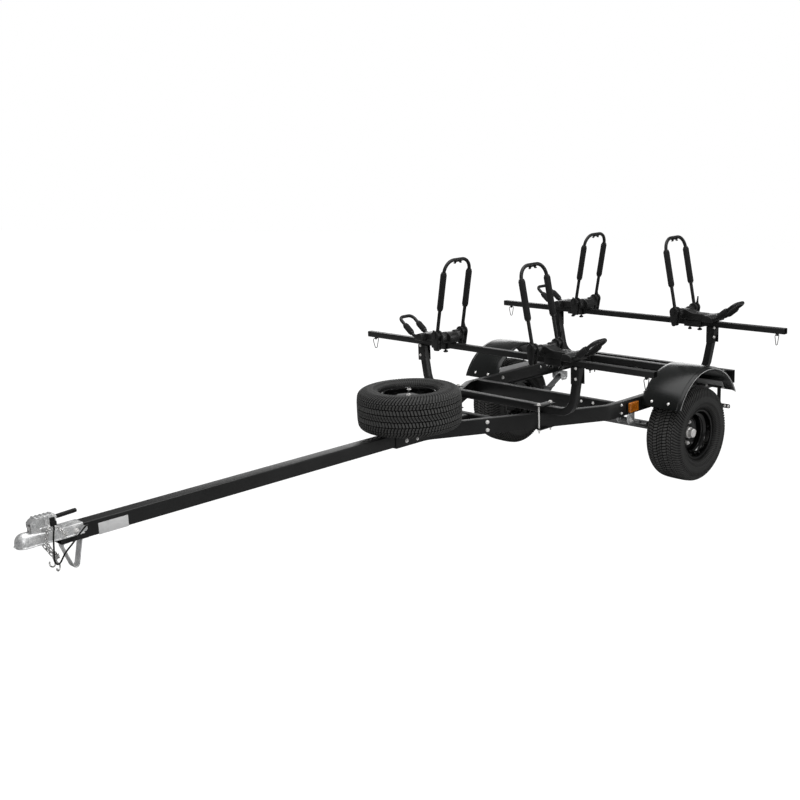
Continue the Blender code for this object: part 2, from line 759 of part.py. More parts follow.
def crossbar_mesh(y):
    ends = [(Vector((x, y, bar_centre(y))), Vector((1, 0, 0))) for x in (-BAR_LENGTH / 2, BAR_LENGTH / 2)]
    up = (0, 0, 1)
    bar = pipe(rings_along(ends, square(BAR_SIZE, BAR_CORNER), up),
               rings_along(ends, square(BAR_SIZE - 2 * BAR_WALL, BAR_CORNER), up))
    saddle = saddle_mesh(y)
    joins = [saddle, mirrored(saddle), ring_tab_mesh(y, RING_X), ring_tab_mesh(y, -RING_X)]
    return combined(bar, joins=joins)


def tie_ring_mesh():
    """A wire loop that narrows downward, hung by its straight top wire, its origin on that wire's middle."""
    wide, high = RING_WIDTH / 2, RING_HEIGHT
    point = wide * RING_POINT
    corners = [(0, 0, 0), (0, wide, 0), (0, point, -high), (0, -point, -high), (0, -wide, 0), (0, 0, 0)]
    stations = bent_path(corners, RING_BEND, 2)[:-1]
    return loft(rings_along(stations, circle(RING_WIRE, 6), (1, 0, 0)), cyclic=True)


def clamp_mesh(x, y, plate_top):
    """A square U-bolt over a yoke's bottom run, with the plate and nuts that draw it up from below."""
    reach = YOKE_SIZE / 2 + GAP + CLAMP_ROD_RADIUS
    over = RAIL_TOP + GAP + YOKE_SIZE + GAP + CLAMP_ROD_RADIUS
    plate_low = plate_top - CLAMP_PLATE_GAUGE
    end = plate_low - CLAMP_THREAD
    bow = bent_path([(x, y - reach, end), (x, y - reach, over), (x, y + reach, over), (x, y + reach, end)],
                    CLAMP_BEND_RADIUS, 2)
    plate = box((x - CLAMP_PLATE_WIDTH / 2, y - reach - CLAMP_PLATE_EDGE, plate_low),
                (x + CLAMP_PLATE_WIDTH / 2, y + reach + CLAMP_PLATE_EDGE, plate_top))
    nuts = [moved(turned([(-CLAMP_NUT_HEIGHT, CLAMP_NUT_RADIUS), (FUSE, CLAMP_NUT_RADIUS)], 6, "Z"),
                  (x, y + side * reach, plate_low)) for side in (-1, 1)]
    return combined(loft(rings_along(bow, circle(CLAMP_ROD_RADIUS, 6), (1, 0, 0))), joins=[plate, *nuts])


def rail_clamp_mesh(y):
    """Two long bolts, one outside a slanted rail's web and one inside its flanges, through a plate over the
    yoke's bottom run and a plate under the rail."""
    slant = hypot(1, rail_slope())
    offset = (CLAMP_ROD_RADIUS + CLAMP_TO_RAIL) * slant
    reach = (RAIL_FLANGE * slant + 2 * offset) / (2 * rail_slope())
    x = rail_web_x(y - reach) + offset
    high, low = RAIL_TOP + GAP + YOKE_SIZE + GAP, RAIL_BOTTOM - GAP
    gauge, wide, deep = CLAMP_PLATE_GAUGE, CLAMP_PLATE_WIDTH / 2, reach + CLAMP_PLATE_EDGE
    joins = [box((x - wide, y - deep, low - gauge), (x + wide, y + deep, low))]
    for sign in (-1, 1):
        place = (x, y + sign * reach, 0)
        joins.append(rod((x, y + sign * reach, low - gauge - CLAMP_THREAD),
                         (x, y + sign * reach, high + gauge + FUSE), CLAMP_ROD_RADIUS, 6))
        for face, tall in ((high + gauge, CLAMP_NUT_HEIGHT), (low - gauge, -CLAMP_NUT_HEIGHT)):
            ends = sorted((face - FUSE * (1 if tall > 0 else -1), face + tall))
            joins.append(moved(turned([(end, CLAMP_NUT_RADIUS) for end in ends], 6, "Z"), place))
    return combined(box((x - wide, y - deep, high), (x + wide, y + deep, high + gauge)), joins)


def make_yokes(datum):
    for word, y in (("front", FRONT_BAR_Y), ("rear", REAR_BAR_Y)):
        piece(f"{word}_yoke", yoke_mesh(y), "powder coat", datum)
        piece(f"{word}_crossbar", crossbar_mesh(y), "powder coat", datum)
        for side, sign in (("left", 1), ("right", -1)):
            piece(f"tie_ring_{word}_{side}", tie_ring_mesh(), "zinc", datum, (sign * RING_X, y, ring_pivot(y)))
    clamp = rail_clamp_mesh(FRONT_BAR_Y)
    piece("yoke_clamp_left", clamp, "zinc", datum)
    piece("yoke_clamp_right", mirrored(clamp), "zinc", datum)


# Folding J-cradles

def rack_x(word, side):
    """Where a rack's hinge axis stands; the rear left rack is clamped a little further out."""
    if (word, side) == ("rear", "left"):
        return REAR_LEFT_RACK_X
    return RACK_X if side == "left" else -RACK_X


def knuckle_place():
    """How far out the hoop's eyes and the cheeks on both sides of them lie."""
    inner = HOOP_SPREAD - HOOP_EYE_WIDTH / 2 - 2 * GAP
    outer = HOOP_SPREAD + HOOP_EYE_WIDTH / 2 + 2 * GAP
    return inner, outer


def rack_body_outline():
    """The moulded body's side view over the crossbar, from the hinge side to the short arm."""
    low = GAP
    return [(-RACK_TAIL, low), (RACK_LENGTH, low), (RACK_LENGTH, RACK_NOSE_HEIGHT),
            (RACK_LENGTH - RACK_NOSE_SLOPE, RACK_DECK_HEIGHT - 2 * FUSE), (RACK_DECK_START, RACK_DECK_HEIGHT),
            (RACK_HUMP_END, RACK_HUMP_HEIGHT), (RACK_HUMP_START, RACK_HUMP_HEIGHT), (-RACK_TAIL, RACK_TAIL_HEIGHT)]


def pear_outline(high, radius, low, toe):
    """The outline round two circles, one over the other, joined by their tangents."""
    lean = asin((radius - toe) / (high - low))
    points = []
    for centre, size, start, end, steps in ((high, radius, -lean, pi + lean, 4),
                                            (low, toe, pi + lean, 2 * pi - lean, 2)):
        for k in range(steps + 1):
            angle = start + (end - start) * k / steps
            points.append((size * cos(angle), centre + size * sin(angle)))
    return points


def lever_outline(height):
    """A release lever's (x, z) outline: it stands up from the knuckle and ends in a small hook."""
    foot, half, top = RACK_HINGE_UP - KNUCKLE_RADIUS / 2, LEVER_HALF_WIDTH, RACK_HINGE_UP + height
    return [(-half, foot), (half, foot), (half, RACK_HINGE_UP + height / 2), (LEVER_HOOK, top),
            (0, top), (-half, RACK_HINGE_UP)]


def rack_base_mesh():
    """The left rack's base, clamped round the crossbar, with two knuckles for the folding hoop."""
    half = RACK_HALF_WIDTH
    inner, outer = knuckle_place()
    body = prism(rack_body_outline(), "Y", -half, half)
    joins = []
    head = [(HEAD_START, GAP), (RACK_LENGTH, GAP), (RACK_LENGTH, RACK_NOSE_HEIGHT),
            (RACK_LENGTH - RACK_NOSE_SLOPE, RACK_DECK_HEIGHT - 2 * FUSE), (HEAD_START, RACK_DECK_HEIGHT)]
    wide = SHORT_SPREAD + HOOP_RADIUS + HEAD_MARGIN
    joins.append(prism(head, "Y", -wide, wide))
    arm_top = RACK_HINGE_UP + ARM_OVER_HINGE
    arm = [(-ARM_HALF_WIDTH, ARM_LOW), (ARM_HALF_WIDTH, ARM_LOW), (ARM_HALF_WIDTH, ARM_SHOULDER),
           (ARM_OVER_HINGE, arm_top), (-ARM_OVER_HINGE, arm_top), (-ARM_HALF_WIDTH, ARM_SHOULDER)]
    web = KNUCKLE_WEB_HALF
    cheek = pear_outline(RACK_HINGE_UP, KNUCKLE_RADIUS, KNUCKLE_TOE_Z, KNUCKLE_TOE_RADIUS)
    sink = KNUCKLE_SINK
    for sign, height in ((-1, LEVER_SHORT), (1, LEVER_TALL)):
        joins.append(prism(arm, "Y", sign * (half - sink), sign * (inner - KNUCKLE_CHEEK + sink)))
        for near in (inner - KNUCKLE_CHEEK, outer):
            joins.append(prism(cheek, "Y", sign * near, sign * (near + KNUCKLE_CHEEK)))
        near, far = sorted((sign * (inner - sink), sign * (outer + sink)))
        joins.append(box((-web, near, KNUCKLE_WEB_LOW), (web, far, KNUCKLE_WEB_HIGH)))
        joins.append(rod((0, near, RACK_HINGE_UP), (0, far, RACK_HINGE_UP), KNUCKLE_PIN_RADIUS, 6))
        face = outer + KNUCKLE_CHEEK
        joins.append(prism(lever_outline(height), "Y", sign * (face - FUSE), sign * (face + LEVER_GAUGE)))
    low = -BAR_SIZE - GAP
    leg = BAR_SIZE / 2 + GAP
    joins.append(box((CLAMP_START, -leg - CLAMP_CHEEK, low - CLAMP_BASE), (CLAMP_END, leg + CLAMP_CHEEK, low)))
    for sign in (-1, 1):
        joins.append(box((CLAMP_START, min(sign * leg, sign * (leg + CLAMP_CHEEK)), low - FUSE),
                         (CLAMP_END, max(sign * leg, sign * (leg + CLAMP_CHEEK)), GAP + FUSE)))
    sockets = [rod((SHORT_ROOT - 0.002, sign * SHORT_SPREAD, SHORT_UP),
                   (RACK_LENGTH + 0.01, sign * SHORT_SPREAD, SHORT_UP), HOOP_RADIUS + GAP, 8)
               for sign in (-1, 1)]
    return combined(body, joins, sockets)


def padded_tube(stations, pads, radius, pad_radius, sides):
    """A tube whose foam sleeves are thicker stretches, between the (start, end) lengths in pads."""
    up = Vector((0, 0, 1))
    rings = []
    run = 0.0
    last = stations[0][0]
    for point, direction in stations:
        run += (point - last).length
        last = point
        thick = any(start - 1e-6 <= run <= end + 1e-6 for start, end in pads)
        across = Vector((0, 1, 0)).cross(direction)
        across = across.normalized() if across.length > 0.3 else up.cross(direction).normalized()
        other = direction.cross(across).normalized()
        if any(abs(run - edge) < 1e-6 for pair in pads for edge in pair):
            starts = any(abs(run - start) < 1e-6 for start, _ in pads)
            widths = (radius, pad_radius) if starts else (pad_radius, radius)
        else:
            widths = (pad_radius,) if thick else (radius,)
        for width in widths:
            rings.append([point + across * a + other * b for a, b in circle(width, sides)])
    return loft(rings)


def with_edges(stations, edges):
    """The stations with extra ones put in on straight runs at the given lengths from the start."""
    result = [stations[0]]
    run = 0.0
    for (point, _), (after, direction) in zip(stations, stations[1:]):
        span = (after - point).length
        for edge in sorted(edges):
            if run + 1e-5 < edge < run + span - 1e-5:
                result.append((point.lerp(after, (edge - run) / span), (after - point).normalized()))
        run += span
        result.append((after, direction))
    return result


def path_length(stations):
    return sum((b[0] - a[0]).length for a, b in zip(stations, stations[1:]))


def hoop_tube_mesh(corners, radius, starts, ends, steps):
    """A padded hoop through the corners, its two sleeves between starts and ends from each foot."""
    stations = bent_path(corners, radius, steps)
    whole = path_length(stations)
    pads = [(starts, ends), (whole - ends, whole - starts)]
    edges = [edge for pair in pads for edge in pair]
    return padded_tube(with_edges(stations, edges), pads, HOOP_RADIUS, PAD_RADIUS, 8)


def tall_hoop_mesh():
    """The upright hoop with its two eyes, its origin on the hinge axis, leaning towards the middle."""
    top = HOOP_LEG + HOOP_TOP_RADIUS
    foot = HOOP_EYE_RADIUS - HOOP_FOOT_SINK
    corners = [(0, -HOOP_SPREAD, foot), (0, -HOOP_SPREAD, top), (0, HOOP_SPREAD, top), (0, HOOP_SPREAD, foot)]
    tube = hoop_tube_mesh(corners, HOOP_TOP_RADIUS, PAD_START - foot, PAD_END - foot, 4)
    eyes, holes = [], []
    for sign in (-1, 1):
        middle = sign * HOOP_SPREAD
        half = HOOP_EYE_WIDTH / 2
        eyes.append(rod((0, middle - half, 0), (0, middle + half, 0), HOOP_EYE_RADIUS, 10))
        holes.append(rod((0, middle - 2 * half, 0), (0, middle + 2 * half, 0), KNUCKLE_PIN_RADIUS + 2 * GAP, 8))
    return moved(combined(tube, eyes, holes), turn=Matrix.Rotation(-HOOP_LEAN, 3, "Y"))


def short_hoop_mesh():
    """The short padded arm: out of the base's sockets, then up at a slant to a round end."""
    tip = (SHORT_KICK + SHORT_LENGTH * cos(SHORT_RISE), SHORT_UP + SHORT_LENGTH * sin(SHORT_RISE))
    root = SHORT_ROOT + GAP
    y = SHORT_SPREAD
    stations = bent_path([(root, -y, SHORT_UP), (SHORT_KICK, -y, SHORT_UP), (tip[0], -y, tip[1]),
                          (tip[0], y, tip[1]), (SHORT_KICK, y, SHORT_UP), (root, y, SHORT_UP)],
                         SHORT_BEND, 2)
    whole = path_length(stations)
    kick = SHORT_KICK - root
    pads = [(kick + SHORT_PAD_START, kick + SHORT_PAD_END),
            (whole - kick - SHORT_PAD_END, whole - kick - SHORT_PAD_START)]
    edges = [edge for pair in pads for edge in pair]
    return padded_tube(with_edges(stations, edges), pads, HOOP_RADIUS, PAD_RADIUS, 8)


def make_racks(datum):
    base, hoop, short = rack_base_mesh(), tall_hoop_mesh(), short_hoop_mesh()
    meshes = {1: (base, hoop, short), -1: (mirrored(base), mirrored(hoop), mirrored(short))}
    for word, y in (("front", FRONT_BAR_Y), ("rear", REAR_BAR_Y)):
        for side, sign in (("left", 1), ("right", -1)):
            top = bar_centre(y) + BAR_SIZE / 2
            x = rack_x(word, side)
            place = (x, y, top)
            hinge = (x, y, top + RACK_HINGE_UP)
            base_mesh, hoop_mesh, short_mesh = meshes[sign]
            piece(f"rack_base_{word}_{side}", base_mesh, "rack plastic", datum, place)
            piece(f"rack_short_arm_{word}_{side}", short_mesh, "foam", datum, place)
            piece(f"rack_hoop_{word}_{side}", hoop_mesh, "foam", datum, hinge)


# Wheels, axle and springs

def tyre_mesh():
    """A tyre's shell, open to the rim between its beads, for the wheel's own frame."""
    half = TYRE_WIDTH / 2
    seat = RIM_WIDTH / 2 - RIM_GAUGE - GAP
    bead = (BEAD_RADIUS + GAP) / cos(pi / TYRE_SIDES)
    inside = seat - BEAD_LAND
    shoulder = TYRE_RADIUS - SHOULDER_DROP
    flange = bead + RIM_FLANGE + 10 * GAP
    widest = bead + SIDEWALL_WIDEST
    outer = [(seat, bead), (seat, flange), (half, widest), (half - SHOULDER_INSET, shoulder),
             (half - TREAD_INSET, TYRE_RADIUS)]
    corner = half - SHOULDER_INSET - SIDEWALL_GAUGE, shoulder - TREAD_GAUGE
    inner = [(-inside, bead), (-corner[0], corner[1]), corner, (inside, bead)]
    profile = outer + [(-x, radius) for x, radius in reversed(outer)] + inner
    return revolved(profile, TYRE_SIDES)


def disc_faces():
    """Where the back and the front of the wheel disc's flat lie, from the wheel's middle plane."""
    return DISC_OFFSET - DISC_GAUGE, DISC_OFFSET


def rim_mesh():
    """Barrel, drop centre and dished disc turned as one steel rim, with the bolt holes cut."""
    half, gauge = RIM_WIDTH / 2, RIM_GAUGE
    lip = BEAD_RADIUS + RIM_FLANGE
    well = BEAD_RADIUS - WELL_DEPTH
    back, front = disc_faces()
    bore = HUB_PILOT_RADIUS + 2 * GAP
    dish = LUG_CIRCLE / 2 + NUT_RADIUS + DISC_MARGIN
    front_well, rear_well = half - BEAD_SEAT_FRONT - WELL_SLOPE, -half + BEAD_SEAT_REAR + WELL_SLOPE
    profile = [(half, lip), (half - gauge, lip), (half - gauge, BEAD_RADIUS), (half - BEAD_SEAT_FRONT, BEAD_RADIUS),
               (front_well, well), (rear_well, well), (-half + BEAD_SEAT_REAR, BEAD_RADIUS),
               (-half + gauge, BEAD_RADIUS), (-half + gauge, lip), (-half, lip),
               (-half, BEAD_RADIUS - gauge), (-DISC_RIM_SETBACK, well - gauge), (back, dish), (back, bore),
               (front, bore), (front, dish - gauge), (-DISC_EDGE_SETBACK, well - gauge),
               (front_well + 10 * GAP, well - gauge), (half, BEAD_RADIUS - gauge)]
    hole = (STUD_RADIUS + GAP) / cos(pi / 8)
    holes = []
    for y, z in lug_places():
        holes.append(moved(turned([(back - gauge, hole), (front + gauge, hole)], 8), (0, y, z)))
    return combined(revolved(profile, RIM_SIDES), cuts=holes)


def lug_places():
    """The (y, z) places of the wheel bolts round the hub."""
    angles = [2 * pi * k / LUG_COUNT for k in range(LUG_COUNT)]
    return [(LUG_CIRCLE / 2 * cos(angle), LUG_CIRCLE / 2 * sin(angle)) for angle in angles]


def lug_nut(x, y, z):
    nut = turned([(0, NUT_RADIUS), (NUT_HEIGHT, NUT_RADIUS)], 6)
    return moved(nut, (x, y, z))


def hub_mesh():
    """Hub barrel with its blind spindle bore, flange, pilot, grease cap, studs and lug nuts."""
    back, front = disc_faces()
    face = back - GAP
    bore = SPINDLE_RADIUS + SPINDLE_CLEARANCE
    inner = face - HUB_FLANGE_GAUGE - HUB_BARREL_LENGTH
    pilot = face + HUB_PILOT_LENGTH
    body = turned([(pilot - HUB_BORE_WALL, bore), (inner, bore), (inner, HUB_BARREL_RADIUS),
                   (face - HUB_FLANGE_GAUGE, HUB_BARREL_RADIUS), (face - HUB_FLANGE_GAUGE, HUB_FLANGE_RADIUS),
                   (face, HUB_FLANGE_RADIUS), (face, HUB_PILOT_RADIUS), (pilot, HUB_PILOT_RADIUS),
                   (pilot, HUB_CAP_RADIUS), (pilot + HUB_CAP_LENGTH - HUB_CAP_CHAMFER, HUB_CAP_RADIUS),
                   (pilot + HUB_CAP_LENGTH, HUB_CAP_RADIUS - HUB_CAP_CHAMFER)], 16)
    joins = []
    for y, z in lug_places():
        stud = turned([(face - STUD_SINK, STUD_RADIUS), (front + GAP + STUD_SINK, STUD_RADIUS)], 6)
        joins.append(moved(stud, (0, y, z)))
        joins.append(lug_nut(front + GAP, y, z))
    return combined(body, joins)


def axle_mesh():
    """The square beam with a spindle at each end and the plates and U-bolts that hold the springs."""
    half = AXLE_SIZE / 2
    end = AXLE_LENGTH / 2
    beam = loft(rings_along([(Vector((x, 0, AXLE_Z)), Vector((1, 0, 0))) for x in (-end, end)],
                            square(AXLE_SIZE), (0, 0, 1)))
    back, _ = disc_faces()
    tip = WHEEL_TRACK / 2 + back - GAP + HUB_PILOT_LENGTH - HUB_BORE_WALL - 2 * GAP
    spring_top = AXLE_Z + half + GAP + 2 * LEAF_GAUGE + GAP
    side = half + UBOLT_RADIUS + GAP
    joins = []
    for sign in (-1, 1):
        root = sign * (end - SPINDLE_RADIUS)
        joins.append(rod((root, 0, AXLE_Z), (sign * tip, 0, AXLE_Z), SPINDLE_RADIUS, 12))
        for low in (spring_top, AXLE_Z - half - SPRING_PAD_GAUGE + FUSE):
            centre = sign * SPRING_X
            reach = SPRING_WIDTH / 2 + 2 * UBOLT_RADIUS + SPRING_PAD_EDGE
            joins.append(box((centre - reach, -SPRING_PAD_LENGTH / 2, low),
                             (centre + reach, SPRING_PAD_LENGTH / 2, low + SPRING_PAD_GAUGE)))
        for across in (-1, 1):
            x = sign * SPRING_X + across * (SPRING_WIDTH / 2 + UBOLT_RADIUS + GAP)
            for y in (-side, side):
                low = AXLE_Z - half - SPRING_PAD_GAUGE - UBOLT_THREAD_BELOW
                high = spring_top + SPRING_PAD_GAUGE + UBOLT_THREAD_ABOVE
                joins.append(rod((x, y, low), (x, y, high), UBOLT_RADIUS, 6))
    return combined(beam, joins)


def spring_pin():
    """The (y, z) place of the pin in the front hanger."""
    return FRONT_HANGER_Y, RAIL_BOTTOM - FRONT_HANGER_DROP + SPRING_EYE_RADIUS + SPRING_EYE_DROP


def leaf_stations(middle, front, rear, drop):
    """A leaf's stations from its (y, z) front end over a flat seat at the middle to its rear end."""
    flat = SPRING_PAD_LENGTH / 2 + SPRING_SEAT_MARGIN
    places = []
    for end, sign in ((front, -1), (rear, 1)):
        span, rise = abs(end[0]) - flat, end[1] - middle
        side = [(sign * (flat + span * k / LEAF_STEPS), middle - drop + rise * (k / LEAF_STEPS) ** LEAF_CURVE)
                for k in range(LEAF_STEPS + 1)]
        places += side[::-1] if sign < 0 else side
    points = [Vector((0, y, z)) for y, z in places]
    reach = [points[0]] + points + [points[-1]]
    return [(point, (after - before).normalized()) for before, point, after in zip(reach, points, reach[2:])]


def slipper_end():
    """The (y, z) rear end of the main leaf, which slides under the rear hanger's roof."""
    return REAR_HANGER_Y + HANGER_LENGTH / 2 - SLIPPER_INSET, RAIL_BOTTOM - 2 * GAP - HANGER_GAUGE - LEAF_GAUGE / 2


def keeper_pin_z():
    """The height of the pin under the slipper, just clear of the slanted leaf."""
    middle = AXLE_Z + AXLE_SIZE / 2 + GAP + 1.5 * LEAF_GAUGE
    flat = SPRING_PAD_LENGTH / 2 + SPRING_SEAT_MARGIN
    end_y, end_z = slipper_end()
    share = (REAR_HANGER_Y - flat) / (end_y - flat)
    slope = (end_z - middle) * LEAF_CURVE * share ** (LEAF_CURVE - 1) / (end_y - flat)
    leaf_z = middle + (end_z - middle) * share ** LEAF_CURVE
    return leaf_z - (LEAF_GAUGE / 2 + SPRING_PIN_RADIUS + 4 * GAP) * hypot(1.0, slope)


def leaf_spring_mesh():
    """A slipper leaf spring: an eye on the front pin, a sagging main leaf, a short second leaf under it."""
    pin_y, pin_z = spring_pin()
    middle = AXLE_Z + AXLE_SIZE / 2 + GAP + 1.5 * LEAF_GAUGE
    half, width = LEAF_GAUGE / 2, SPRING_WIDTH / 2
    front, rear = (pin_y, pin_z - SPRING_EYE_RADIUS + half), slipper_end()
    section = [(-half, -width), (half, -width), (half, width), (-half, width)]
    leaf = loft(rings_along(leaf_stations(middle, front, rear, 0), section, (1, 0, 0)))
    ends = []
    for y, z in (front, rear):
        flat = SPRING_PAD_LENGTH / 2 + SPRING_SEAT_MARGIN
        short = flat + (abs(y) - flat) * SECOND_LEAF
        ends.append((short * (1 if y > 0 else -1), middle + (z - middle) * SECOND_LEAF ** LEAF_CURVE))
    second = loft(rings_along(leaf_stations(middle, *ends, LEAF_GAUGE - FUSE), section, (1, 0, 0)))
    eye = rod((-width, pin_y, pin_z), (width, pin_y, pin_z), SPRING_EYE_RADIUS, 12)
    hole = rod((-2 * width, pin_y, pin_z), (2 * width, pin_y, pin_z), SPRING_PIN_RADIUS + 2 * GAP, 8)
    return moved(combined(leaf, [second, eye], [hole]), (SPRING_X, 0, 0))


def hanger_mesh(y, drop, pin_z):
    """A pressed channel under the rail with the pin, or the slipper's keeper pin, across it."""
    top = RAIL_BOTTOM - GAP
    half, gauge = HANGER_WIDTH / 2, HANGER_GAUGE
    outline = [(-half, top - drop), (-half + gauge, top - drop), (-half + gauge, top - gauge),
               (half - gauge, top - gauge), (half - gauge, top - drop), (half, top - drop), (half, top), (-half, top)]
    shell = prism([(SPRING_X + a, z) for a, z in outline], "Y", y - HANGER_LENGTH / 2, y + HANGER_LENGTH / 2)
    below, beyond = top - drop - gauge, HANGER_LENGTH * 0.75
    taper = [prism([(y + sign * beyond, below), (y + sign * HANGER_CUT_START, below),
                    (y + sign * beyond, top - gauge - HANGER_CUT_TOP)], "X", SPRING_X - HANGER_WIDTH,
                   SPRING_X + HANGER_WIDTH)
             for sign in (-1, 1)]
    reach = half + HANGER_PIN_STANDOUT
    pin = rod((SPRING_X - reach, y, pin_z), (SPRING_X + reach, y, pin_z), SPRING_PIN_RADIUS, 8)
    return combined(combined(shell, cuts=taper), joins=[pin])


def make_running_gear(datum):
    piece("axle_beam", axle_mesh(), "grey paint", datum)
    leaf = leaf_spring_mesh()
    _, front_pin = spring_pin()
    hangers = {"front": hanger_mesh(FRONT_HANGER_Y, FRONT_HANGER_DROP, front_pin),
               "rear": hanger_mesh(REAR_HANGER_Y, REAR_HANGER_DROP, keeper_pin_z())}
    tyre, rim, hub = tyre_mesh(), rim_mesh(), hub_mesh()
    for side, sign in (("left", 1), ("right", -1)):
        hand = (lambda mesh: mesh) if sign > 0 else mirrored
        piece(f"leaf_spring_{side}", hand(leaf), "grey paint", datum)
        for end, hanger in hangers.items():
            piece(f"spring_hanger_{end}_{side}", hand(hanger), "galvanised", datum)
        wheel = empty(f"wheel_{side}", (sign * WHEEL_TRACK / 2, 0, AXLE_Z), datum, -STANCE)
        piece(f"tyre_{side}", hand(tyre), "rubber", wheel)
        piece(f"rim_{side}", hand(rim), "gloss paint", wheel)
        piece(f"hub_{side}", hand(hub), "zinc", wheel)
    return tyre, rim


# Fenders and lamps

def fender_station(angle, radius=FENDER_RADIUS):
    return Vector((0, FENDER_CENTRE_Y + radius * cos(angle), FENDER_CENTRE_Z + radius * sin(angle)))


def fender_mesh():
    """The left fender: an arched skin with a stepped hem and a turned-down lip along both edges."""
    stations = []
    for k in range(FENDER_STEPS + 1):
        angle = FENDER_FRONT_ANGLE + (FENDER_REAR_ANGLE - FENDER_FRONT_ANGLE) * k / FENDER_STEPS
        stations.append((fender_station(angle), Vector((0, sin(angle), -cos(angle)))))
    left, right, gauge = FENDER_OUTER_X, FENDER_INNER_X, FENDER_GAUGE
    step, hem, lip = FENDER_STEP, FENDER_HEM, FENDER_LIP
    section = [(lip, left), (step, left), (0, left - hem), (0, right + hem), (step, right), (lip, right),
               (lip, right + gauge), (step + gauge, right + gauge), (gauge, right + hem),
               (gauge, left - hem), (step + gauge, left - gauge), (lip, left - gauge)]
    return loft(rings_along(stations, section, (1, 0, 0)))


def brace_mesh():
    """The flat bar along the rail's web whose bent ends carry the fender's skin."""
    web = RAIL_HALF_SPAN + GAP
    facet = (FENDER_FRONT_ANGLE - FENDER_REAR_ANGLE) / FENDER_STEPS
    skin = (FENDER_RADIUS - FENDER_LIP) * cos(facet / 2) - GAP
    low = FENDER_CENTRE_Z + skin * sin(BRACE_REAR_ANGLE)
    high = low + BRACE_HEIGHT
    arms = []
    for angle, turn in ((BRACE_FRONT_ANGLE, -1), (BRACE_REAR_ANGLE, 1)):
        near = [fender_station(angle + turn * BRACE_SPAN * k / 3, skin) for k in range(4)]
        far = [fender_station(angle + turn * BRACE_SPAN * k / 3, skin - BRACE_GAUGE) for k in (3, 2, 1, 0)]
        arms.append(prism([(p.y, p.z) for p in near + far], "X", web, web + BRACE_REACH))
    front = fender_station(BRACE_FRONT_ANGLE - BRACE_SPAN * 0.5, skin - BRACE_GAUGE * 0.5).y
    rear = fender_station(BRACE_REAR_ANGLE + BRACE_SPAN * 0.5, skin - BRACE_GAUGE * 0.5).y
    bar = box((web, front, low), (web + BRACE_GAUGE, rear, high))
    return combined(bar, joins=arms)


def marker_mesh():
    """An amber side lamp on the rail's web: a base and a lens with slanted sides."""
    web = RAIL_HALF_SPAN + GAP
    base, deep = MARKER_BASE, MARKER_DEPTH
    rings = []
    for depth, inset in ((0, 0), (base, 0), (base, base / 2), (deep - base / 2, base), (deep, 2 * base)):
        wide, high = MARKER_WIDTH / 2 - inset, MARKER_HEIGHT / 2 - inset
        rings.append([Vector((web + depth, MARKER_Y + a * wide, FRAME_Z + b * high))
                      for a, b in ((-1, -1), (1, -1), (1, 1), (-1, 1))])
    return loft(rings)


def tail_lamp_mesh():
    """A red tail lamp on the rear member's web, its lens bulged a little."""
    face = REAR_CROSS_Y + GAP
    middle = REAR_CROSS_LENGTH / 2 - TAIL_LAMP_WIDTH / 2
    rings = []
    deep, lens = TAIL_LAMP_DEPTH, TAIL_LAMP_LENS
    for depth, inset in ((0, 0), (deep - lens, 0), (deep - lens, lens / 5), (deep - lens / 4, lens / 2.5),
                         (deep, lens)):
        wide, high = TAIL_LAMP_WIDTH / 2 - inset, TAIL_LAMP_HEIGHT / 2 - inset
        rings.append([Vector((middle + a * wide, face + depth, FRAME_Z + b * high))
                      for a, b in ((-1, -1), (1, -1), (1, 1), (-1, 1))])
    return loft(rings)


def make_fenders_and_lamps(datum):
    meshes = (("fender", fender_mesh(), "fender plastic"), ("fender_brace", brace_mesh(), "grey paint"),
              ("side_marker", marker_mesh(), "amber lens"), ("tail_lamp", tail_lamp_mesh(), "red lens"))
    for name, mesh, stuff in meshes:
        piece(f"{name}_left", mesh, stuff, datum)
        piece(f"{name}_right", mirrored(mesh), stuff, datum)


# Spare wheel

def carrier_mesh(disc_low, disc_top):
    """A folded bracket on the rails' front ends, with two studs and nuts that hold the spare's disc."""
    low = RAIL_TOP + GAP
    top = disc_low - GAP
    half, gauge = CARRIER_WIDTH / 2, CARRIER_GAUGE
    foot = CARRIER_FOOT
    outline = [(-half, low), (-half + foot + gauge, low), (-half + foot + gauge, top - gauge),
               (half - foot - gauge, top - gauge), (half - foot - gauge, low), (half, low), (half, low + gauge),
               (half - foot, low + gauge), (half - foot, top), (-half + foot, top), (-half + foot, low + gauge),
               (-half, low + gauge)]
    bracket = prism([(SPARE_Y + a, z) for a, z in outline], "X", -CARRIER_DEPTH / 2, CARRIER_DEPTH / 2)
    joins = []
    for x, y in carrier_studs():
        joins.append(rod((x, y, top - gauge + FUSE), (x, y, disc_top + STUD_RISE), STUD_RADIUS, 8))
        joins.append(moved(turned([(0, NUT_RADIUS), (NUT_HEIGHT, NUT_RADIUS)], 6, "Z"), (x, y, disc_top + GAP)))
    return combined(bracket, joins)


def carrier_studs():
    """The (x, y) places of two opposite bolt holes in the spare's disc."""
    reach = LUG_CIRCLE / 2
    return [(sign * reach * sin(SPARE_TURN), SPARE_Y - sign * reach * cos(SPARE_TURN)) for sign in (-1, 1)]


def make_spare(datum, tyre, rim):
    middle = RAIL_TOP + GAP + TYRE_WIDTH / 2
    back, front = disc_faces()
    upward = Matrix.Rotation(SPARE_TURN, 3, "Z") @ Matrix.Rotation(-pi / 2, 3, "Y")
    place = (0, SPARE_Y, middle)
    for name, mesh, stuff in (("spare_tyre", tyre, "rubber"), ("spare_rim", rim, "gloss paint")):
        piece(name, moved(mesh.copy(), turn=upward), stuff, datum, place)
    piece("spare_carrier", carrier_mesh(middle + back, middle + front), "powder coat", datum)


# Coupler

